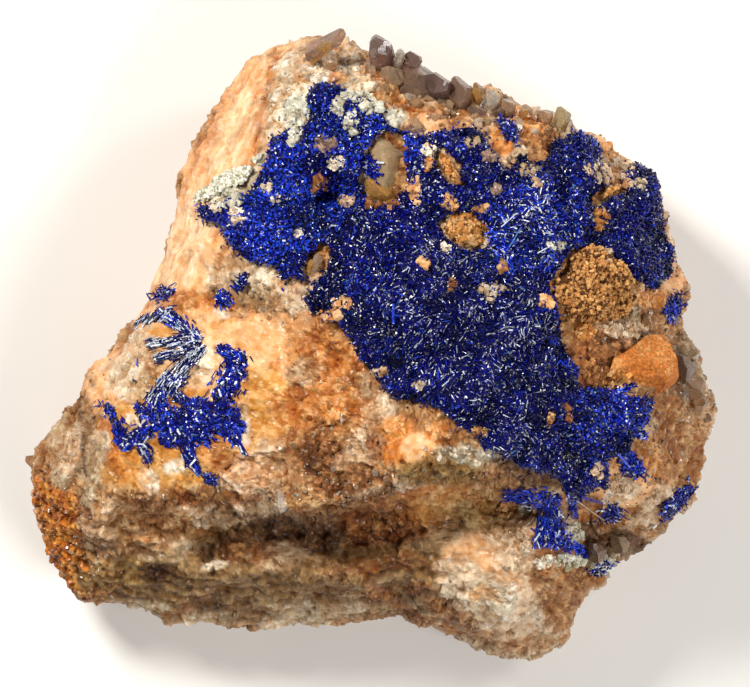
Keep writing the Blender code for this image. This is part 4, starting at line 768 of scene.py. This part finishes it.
def rock():
    """The broken quartz, with every grain and layer of its skin."""
    bm = merged_copy("matrix")
    bm.normal_update()
    detail = bm.faces.layers.int.new("detail")
    trees = []
    for node in ("linarite_crust", "limonite_sponge", "limonite_block", "pale_green_crust"):
        copy = merged_copy(node)
        trees.append(BVHTree.FromBMesh(copy))
        copy.free()
    for f in bm.faces:
        middle = f.calc_center_median()
        covered = any(tree.find_nearest(middle, 0.6 * MM)[0] is not None for tree in trees)
        if covered or f.normal.z < -0.6:
            f[detail] = 1
        else:
            f[detail] = 3 if f.normal.z > 0.3 else 2
    refine(bm, 0.35)
    mesh = mesh_from("rock", bm)
    points, normals = points_of(mesh), points_of(mesh, "normal")
    _, relief = stained(points)
    hidden = 1 - smooth_step(-0.3, 0.05, normals[:, 2] + 0.3 * drift(points, 3 * MM, 56))
    relief += hidden * (1.1 - relief)
    rise, crack = np.zeros(len(points)), np.zeros(len(points))
    for width, share, seed in SKIN_GRAINS:
        size = width * MM
        _, height, border = grains(points, size, seed)
        rise += size * share * height
        crack = np.maximum(crack, 1 - smooth_step(0.0, 0.16 * MM / size + 0.05, border))
    rise = relief * (rise - 0.12 * MM * crack)
    plan = to_plan(points)
    flank = cover(plan, np.zeros(len(plan)), *FLANK)
    slanted = points @ np.array(Matrix.Rotation(math.radians(-FLANK[-1]), 3, "Z")).T
    streaks = drift(slanted * (0.1, 1, 1), 0.6 * MM, 101) + 0.5 * drift(slanted * (0.2, 1, 1), 0.3 * MM, 102)
    low_face = smooth_step(*LOW_FACE_TOP, plan[:, 1]) * smooth_step(*LOW_FACE_RIGHT, plan[:, 0])
    layers = drift(points * (0.16, 1, 1.4), 0.9 * MM, 111)
    layers += 0.6 * drift(points * (0.3, 1, 1.4), 0.4 * MM, 112)
    rise += flank * 0.12 * MM * streaks + low_face * 0.26 * MM * layers
    points += normals * (rise * smooth_step(0, 1.5 * MM, points[:, 2]))[:, None]
    points[:, 2] = np.maximum(points[:, 2], 0)
    move_points(mesh, points)
    colour, _ = stained(points)
    colour += hidden[:, None] * (mottled(points) - colour)
    # Painted shade: the rock is darkened in its hollows and along the cracks between its grains, and the next
    # line makes its raised grains a little paler.
    deep = smooth_step(0.02 * MM, 0.30 * MM, -rise) + 0.35 * crack * relief
    colour *= 1 - np.clip(deep, 0, 1)[:, None] * (0.38, 0.52, 0.66)
    colour *= 1 + smooth_step(0.02 * MM, 0.3 * MM, rise)[:, None] * (0.08, 0.16, 0.24)
    colour *= 1 + flank[:, None] * streaks[:, None] * (0.10, 0.22, 0.34)
    colour *= 1 + low_face[:, None] * layers[:, None] * (0.30, 0.32, 0.34)
    set_colour(mesh, np.clip(colour, 0, 0.95), np.clip(0.12 + 0.85 * relief, 0, 1))
    mesh.shade_smooth()
    mesh.set_sharp_from_angle(angle=math.radians(28))
    return new_piece("rock", mesh, ROCK, "rock", "matrix")


def tree_of(*pieces):
    """A search tree over the shapes of several pieces."""
    points, faces = [], []
    for piece in pieces:
        start = len(points)
        points += [v.co.copy() for v in piece.data.vertices]
        faces += [[start + k for k in p.vertices] for p in piece.data.polygons]
    return BVHTree.FromPolygons(points, faces)


def dropped(tree, plan):
    """Where plan points meet a surface from above, and its direction there. Points beside it are left out."""
    found, directions, kept = [], [], []
    for k, (x, y) in enumerate(plan):
        x, y = from_plan(x, y)
        place, direction, *_ = tree.ray_cast(Vector((x, y, 0.1)), Vector((0, 0, -1)))
        if place is not None:
            found.append(place[:])
            directions.append(direction[:])
            kept.append(k)
    return np.array(found), np.array(directions), np.array(kept)


def blade_colours(bright, sheen_share):
    """A colour for each blade: bright ones are ultramarine or azure, and some get painted sheen (steel) or
    painted glints (silver).
    """
    luck = dice.random(len(bright))
    colour = np.tile(np.array(NAVY), (len(bright), 1))
    colour[luck > 0.72 - 0.55 * bright] = ULTRAMARINE
    colour[luck > 0.98 - 0.5 * bright**1.5] = AZURE
    colour[luck > 0.985 - 0.20 * sheen_share] = STEEL_SHEEN
    colour[luck > 0.994 - 0.20 * sheen_share] = SILVER_GLINT
    return colour * dice.uniform(0.6, 1.4, len(bright))[:, None]


def crust_swell(points):
    """How far the main crust swells or sinks at each point."""
    waves = ((0.35, 3.6, 131), (0.55, 1.9, 132), (0.2, 0.8, 133))  # height, width, seed
    return sum(height * drift(points, width * MM, seed) for height, width, seed in waves) * MM


def crust(rock_piece):
    """The main crust: a lumpy deep blue ground, and the grains and laths that stand on it."""
    bm = merged_copy("linarite_crust")
    bm.normal_update()
    detail = bm.faces.layers.int.new("detail")
    for f in bm.faces:
        f[detail] = 2 if f.normal.z > -0.1 else 0
    refine(bm, 0.3)
    mesh = mesh_from("linarite_ground", bm)
    points, normals = points_of(mesh), points_of(mesh, "normal")
    _, height, _ = grains(points, 1.4 * MM, 135)
    rise = crust_swell(points) + 0.4 * MM * height
    move_points(mesh, points + normals * (rise * np.clip(normals[:, 2] * 3, 0, 1))[:, None])
    # Painted shade: the ground turns near black where it sinks.
    shade = 0.15 + 0.8 * smooth_step(-0.5 * MM, 0.5 * MM, rise)
    set_colour(mesh, np.array(NAVY)[None] * shade[:, None])
    mesh.shade_smooth()
    mesh.set_sharp_from_angle(angle=math.radians(30))
    ground = new_piece("linarite_ground", mesh, LINARITE, "linarite", "linarite_crust")
    surface = surface_of(mesh)
    places, up = spread(surface, np.clip(surface[3][:, 2] + 0.2, 0, 1), CRUST_BLADES)
    stray = np.where(dice.random(len(places)) < 0.1, 0.5, 0.14)
    shifted = to_plan(places) + dice.normal(0, 1, (len(places), 2)) * stray[:, None]
    places, up, _ = dropped(tree_of(ground, rock_piece), shifted)
    count = len(places)
    cell = np.floor(places / (1.1 * MM) + 0.5 * drift(places, 0.9 * MM, 134)[:, None])
    bundle = np.stack([chance(cell, 141 + k) for k in range(3)], axis=1) * 2 - 1
    lathy = patches(places, LATHY, 0.05, 143) * (dice.random(count) < 0.8)
    sheen_share, bright = patches(places, SHEEN_PATCHES, 0.03, 145), patches(places, BRIGHT, 0.3, 147)
    flat = unit(bundle * (1, 1, 0.25) + dice.normal(0, 0.16, (count, 3)))
    loose = unit(dice.normal(0, 1, (count, 3)) + up * 0.35)
    lathy = lathy[:, None]
    along = unit(flat * lathy + loose * (1 - lathy))
    short, long = dice.uniform(0.09, 0.21, (count, 1)), dice.uniform(0.14, 0.5, (count, 1))
    broad, slim = dice.uniform(0.045, 0.11, (count, 1)), dice.uniform(0.022, 0.06, (count, 1))
    length, width = short * (1 - lathy) + long * lathy, broad * (1 - lathy) + slim * lathy
    thin = width * dice.uniform(0.4, 0.95, (count, 1))
    sizes = np.hstack([width, thin, length]) * MM
    lift = up * dice.uniform(-0.02, 0.22, (count, 1)) * MM
    # Painted shade: blades where the crust sinks are darker and take fewer painted glints.
    height = smooth_step(-0.6 * MM, 0.4 * MM, crust_swell(places))
    shade = 0.35 + 0.6 * height + 0.4 * bright * height
    colours = blade_colours(bright, sheen_share * height) * shade[:, None]
    turns = turned(along, up + 0.5 * dice.normal(0, 1, (count, 3)))
    left = places[:, 0] <= np.median(places[:, 0])
    for name, part in (("linarite_blades_left", left), ("linarite_blades_right", ~left)):
        mesh = joined(name, LATH, (places + lift)[part], turns[part], sizes[part], colours[part])
        new_piece(name, mesh, LINARITE, "linarite")
    return ground


def strokes(tree, name, table, bright, *replaced):
    """Bars of parallel blades that lie on the surface of the tree."""
    places, along, sheen = [], [], []
    for x, y, end_x, end_y, start_width, end_width, sheen_share in table:
        start, end = np.array((x, y)), np.array((end_x, end_y))
        run = end - start
        length = np.hypot(*run)
        side = np.array((-run[1], run[0])) / length
        count = int(40 * length * (start_width + end_width) / 2 + 6)
        t = dice.random(count)
        width = start_width + (end_width - start_width) * t
        off = dice.normal(0, 0.27, count) * width
        places.append(start + run * t[:, None] + side * off[:, None])
        angle = math.atan2(run[1], run[0]) + dice.normal(0, 0.07 + 0.8 * (1 - sheen_share) ** 2, count)
        along.append(np.stack([np.cos(angle), np.sin(angle), np.zeros(count)], axis=1))
        sheen.append(np.full(count, sheen_share))
    plan, along, sheen = np.concatenate(places), np.concatenate(along), np.concatenate(sheen)
    points, up, kept = dropped(tree, plan)
    along, sheen = along[kept], sheen[kept]
    flat = unit(along - up * (along * up).sum(1)[:, None])
    flat = unit(flat + up * dice.uniform(-0.08, 0.2, (len(flat), 1)) + dice.normal(0, 0.05, flat.shape))
    silvery = sheen[:, None]
    length = dice.uniform(0.16, 0.4, silvery.shape) + silvery * dice.uniform(0.0, 0.35, silvery.shape)
    width = dice.uniform(0.04, 0.10, silvery.shape) * (1.15 - 0.4 * silvery)
    thin = width * dice.uniform(0.4, 0.9, silvery.shape)
    sizes = np.hstack([width, thin, length]) * MM
    points = points + up * dice.uniform(0.0, 0.36, silvery.shape) * MM
    colours = blade_colours(np.full(len(flat), bright), 2.2 * sheen**2)
    mesh = joined(name, LATH, points, turned(flat, up), sizes, colours)
    new_piece(name, mesh, LINARITE, "linarite", *replaced)


def long_blades(tree):
    """Single long blades that lie from one place on the specimen to another."""
    middles, ways, sizes, colours = [], [], [], []
    for x, y, end_x, end_y, half_width, colour, lift in LONG_BLADES:
        ends, _, kept = dropped(tree, [(x, y), (end_x, end_y)])
        if len(kept) == 2:
            middles.append(ends.mean(0) + np.array((0, 0, lift)) * MM)
            ways.append(ends[1] - ends[0])
            length = np.linalg.norm(ways[-1])
            sizes.append((half_width * MM, 0.5 * half_width * MM, length / 2))
            colours.append(colour)
    turns = turned(np.array(ways), np.tile((0.0, 0.2, 1.0), (len(ways), 1)))
    mesh = joined("linarite_long_blades", LATH, np.array(middles), turns, np.array(sizes), np.array(colours))
    new_piece("linarite_long_blades", mesh, LINARITE, "linarite")


def tuft(tree, node, x, y, half_length, half_width, turn, sheen_share):
    """A small group of short blades on the surface of the tree, in a patch of its own turn."""
    count = int(170 * half_length * half_width + 30)
    out = dice.normal(0, 0.42, (count, 2)) * (half_length, half_width)
    a = math.radians(turn)
    plan = np.array((x, y)) + out @ np.array(((math.cos(a), math.sin(a)), (-math.sin(a), math.cos(a))))
    points, up, kept = dropped(tree, plan)
    count = len(points)
    lean = np.hstack([plan[kept] - (x, y), dice.uniform(0.1, 0.7, (count, 1))])
    along = unit(unit(lean) * 0.6 + dice.normal(0, 0.5, (count, 3)))
    width = dice.uniform(0.05, 0.12, (count, 1))
    thin = width * dice.uniform(0.4, 0.9, width.shape)
    sizes = np.hstack([width, thin, dice.uniform(0.14, 0.4, width.shape)]) * MM
    points = points + up * dice.uniform(0.0, 0.4, (count, 1)) * MM
    name = node.replace("linarite_tuft", "linarite_blades")
    colours = blade_colours(np.full(count, 0.55), np.full(count, sheen_share))
    mesh = joined(name, LATH, points, turned(along, up), sizes, colours)
    new_piece(name, mesh, LINARITE, "linarite", *[node] * (node in nodes))


def earthy(name, node, slot, colours, grain, rise_share, rounded, wider, count, detail_level):
    """A mass of grains: its solid, a little wider, with gaps between its grains and loose grains over it."""
    grain *= MM
    bm = merged_copy(node)
    heart = sum((v.co for v in bm.verts), Vector()) / len(bm.verts)
    for way, share in BROKEN_FACES.get(node, []):
        reach = max((v.co - heart).dot(Vector(way).normalized()) for v in bm.verts)
        cut_off(bm, share * reach, way, heart)
    bmesh.ops.triangulate(bm, faces=bm.faces)
    bm.normal_update()
    detail = bm.faces.layers.int.new("detail")
    for f in bm.faces:
        f[detail] = detail_level if f.normal.z > -0.3 else 1
    refine(bm, rounded)
    mesh = mesh_from(name, bm)
    points, normals = points_of(mesh), points_of(mesh, "normal")
    middle = (points.min(0) + points.max(0)) / 2
    points[:, :2] = middle[:2] + (points - middle)[:, :2] * wider
    number, height, border = grains(points, grain, 151)
    gap = 1 - smooth_step(0.0, 0.35, border)
    lumps = drift(points, 4 * grain, 152)
    rise = grain * rise_share * (0.5 * height + 0.9 * lumps - 0.8 * gap)
    move_points(mesh, points + normals * (rise * np.clip(normals[:, 2] * 3 + 0.4, 0, 1))[:, None])
    deep, middle, bright = (np.array(c) for c in colours)
    # Painted light and shade: the colour turns to the bright tone on raised lumps, a painted highlight, and
    # to the deep tone in the gaps between grains and in sunken places, painted shade.
    colour = middle + (bright - middle) * (number[:, None] * smooth_step(-0.5, 0.6, lumps)[:, None])
    shade = np.clip(gap * rise_share + smooth_step(0.2, 0.9, -lumps) * 0.6, 0, 1)
    colour += (deep - colour) * shade[:, None]
    set_colour(mesh, colour)
    mesh.shade_smooth()
    mesh.set_sharp_from_angle(angle=math.radians(18))
    mass = new_piece(name, mesh, EARTHS[slot], slot, node)
    if count:
        surface = surface_of(mesh)
        places, up = spread(surface, np.clip(surface[3][:, 2] + 0.3, 0, 1), count)
        turns = turned(dice.normal(0, 1, up.shape), dice.normal(0, 1, up.shape))
        sizes = grain * dice.uniform(0.18, 0.42, (count, 1)) * dice.uniform(0.6, 1.3, (count, 3))
        tone = middle + (bright - middle) * dice.random((count, 1)) * 1.2
        tone[dice.random(count) < 0.25] = deep
        name += "_grains"
        new_piece(name, joined(name, GRAINS, places, turns, sizes, tone), EARTHS[slot], slot)
    return mass


def druse(surface):
    """Small quartz crystals that stand on the rock."""
    first, to_second, to_third, normal, _ = surface
    middles = first + (to_second + to_third) / 3
    plan = to_plan(middles)
    places, ups, radii = [], [], []
    for x, y, half_length, half_width, turn, count, size in DRUSES:
        weight = cover(plan, np.zeros(len(plan)), x, y, half_length, half_width, turn)
        weight *= (normal[:, 2] > -0.3) * (middles[:, 2] > 1.5 * MM)
        place, up = spread(surface, weight, count)
        places.append(place)
        ups.append(up)
        radii.append(size * np.clip(0.2 * np.exp(dice.normal(0, 0.45, count)), 0.08, 0.75) * MM)
    places, ups, radii = np.concatenate(places), np.concatenate(ups), np.concatenate(radii)[:, None]
    deep, tall = dice.uniform(0.7, 1.1, radii.shape), dice.uniform(1.0, 1.7, radii.shape)
    sizes = radii * np.hstack([np.ones(radii.shape), deep, tall])
    along = unit(ups + dice.normal(0, 0.5, ups.shape))
    colour, _ = stained(places)
    pale = dice.random(radii.shape) < 0.22
    colour = np.where(pale, colour * 0.4 + (0.45, 0.38, 0.29), colour * 0.95)
    colour *= dice.uniform(0.7, 1.15, radii.shape)
    turns = turned(along, dice.normal(0, 1, ups.shape))
    mesh = joined("quartz_druse", POINTS, places, turns, sizes, colour)
    new_piece("quartz_druse", mesh, DRUSE, "rock")


def flecks(tree):
    """Grains of other minerals that show through the blue."""
    plan, colours, sizes = [], [], []
    for x, y, half_length, half_width, stain_and_painted_light in FLECKS:
        count = int(12 + 42 * half_length * half_width)
        angle, out = dice.uniform(0, 2 * math.pi, count), np.sqrt(dice.random(count))
        east, north = out * half_length * np.cos(angle), out * half_width * np.sin(angle)
        plan.append(np.stack([x + east, y + north], axis=1))
        colours.append(grain_colour(stain_and_painted_light, dice.random(count)) * dice.uniform(0.7, 1.1, (count, 1)))
        radius = np.clip(0.2 * np.exp(dice.normal(0, 0.45, (count, 1))), 0.08, 0.45)
        sizes.append(radius * dice.uniform(0.7, 1.2, (count, 3)) * MM)
    points, up, kept = dropped(tree, np.concatenate(plan))
    colours, sizes = np.concatenate(colours)[kept], np.concatenate(sizes)[kept]
    turns = turned(dice.normal(0, 1, points.shape), dice.normal(0, 1, points.shape))
    mesh = joined("mineral_flecks", GRAINS, points, turns, sizes, colours)
    new_piece("mineral_flecks", mesh, ROCK, "rock")


def crystals(node, table):
    """Makes and returns quartz crystals from their feet to their tips, each with faces of its own."""
    shift = PLAN_SHIFT / MM
    foot = np.array([row[0:3] for row in table]) + shift
    tip = np.array([row[3:6] for row in table]) + shift
    radius, flatness, turn = (np.array([row[k] for row in table]) for k in (6, 7, 8))
    half = np.linalg.norm(tip - foot, axis=1) / 2
    luck = np.random.default_rng(CRYSTAL_SEED)
    shapes = [quartz_shape(h / r, luck) for h, r in zip(half, radius)]
    side = np.stack([np.cos(np.radians(turn)), np.sin(np.radians(turn)), 0 * turn], axis=1)
    sizes = np.stack([radius * 1.15, radius * flatness * 1.15, half], axis=1) * MM
    colours = np.array([row[9] for row in table])
    name = node + "_crystals"
    mesh = joined(name, shapes, (foot + tip) / 2 * MM, turned(tip - foot, side), sizes, colours)
    finish = CLOUDY if node in ("quartz_dome", "quartz_lens") else QUARTZ
    return new_piece(name, mesh, finish, "quartz", node)


def studio():
    """A pale floor, soft lights and the camera that looks straight down."""
    bm = bmesh.new()
    bmesh.ops.create_grid(bm, x_segments=1, y_segments=1, size=1.5)
    mesh = mesh_from("floor", bm)
    finish = bpy.data.materials.new("floor_pale")
    finish.use_nodes = True
    shader = finish.node_tree.nodes["Principled BSDF"]
    shader.inputs["Base Color"].default_value = (0.80, 0.79, 0.77, 1)
    shader.inputs["Roughness"].default_value = 0.9
    mesh.materials.append(finish)
    floor = bpy.data.objects.new("floor", mesh)
    bpy.context.scene.collection.objects.link(floor)
    for name, direction, distance, size, power, colour in (
        ("key", (-0.48, 0.50, 0.72), 0.5, 0.14, 3.1, (1.0, 0.96, 0.90)),
        ("fill", (0.50, -0.42, 0.76), 0.6, 0.25, 2.5, (1.0, 0.97, 0.93)),
        ("rim", (0.75, 0.50, 0.45), 0.5, 0.12, 0.8, (1.0, 1.0, 1.0)),
    ):
        light = bpy.data.lights.new(name, "AREA")
        light.size = size
        light.energy = power
        light.color = colour
        lamp = bpy.data.objects.new(name, light)
        bpy.context.scene.collection.objects.link(lamp)
        way = Vector(direction).normalized()
        lamp.location = Vector((0, 0, 0.015)) + way * distance
        lamp.rotation_euler = way.to_track_quat("Z", "Y").to_euler()
    world = bpy.data.worlds.new("studio")
    world.use_nodes = True
    world.node_tree.nodes["Background"].inputs["Color"].default_value = (1.0, 0.99, 0.97, 1)
    world.node_tree.nodes["Background"].inputs["Strength"].default_value = 0.15
    bpy.context.scene.world = world
    lens, sensor, view_width, middle_height = 1000.0, 36.0, 75 * MM, 12 * MM
    camera_data = bpy.data.cameras.new("camera")
    camera_data.lens, camera_data.sensor_width = lens, sensor
    camera_data.clip_start, camera_data.clip_end = 0.1, 20
    camera = bpy.data.objects.new("camera", camera_data)
    bpy.context.scene.collection.objects.link(camera)
    x, y = from_plan(0.1, 0.05)
    camera.location = (x, y, middle_height + view_width * lens / sensor)
    bpy.context.scene.camera = camera
    bpy.context.scene.view_settings.view_transform = "Standard"


rock_piece = rock()
rock_surface, rock_tree = surface_of(rock_piece.data), tree_of(rock_piece)
ground_piece = crust(rock_piece)
strokes(rock_tree, "linarite_spray_blades", SPRAY_BLADES, 0.45, "linarite_spray")
strokes(rock_tree, "linarite_tail_blades", LOWER_TAIL, 0.9, "linarite_tail")
strokes(rock_tree, "linarite_crust_arms", CRUST_ARMS, 0.6)
for row in TUFTS:
    tuft(rock_tree, *row)
long_blades(tree_of(ground_piece, rock_piece))
masses = [earthy(*row) for row in MASSES]
flecks(tree_of(ground_piece, rock_piece, *masses))
druse(rock_surface)
clusters = {node: crystals(node, table) for node, table in CRYSTALS.items()}
tuft(tree_of(clusters["quartz_dome"]), *DOME_TUFT)
studio()
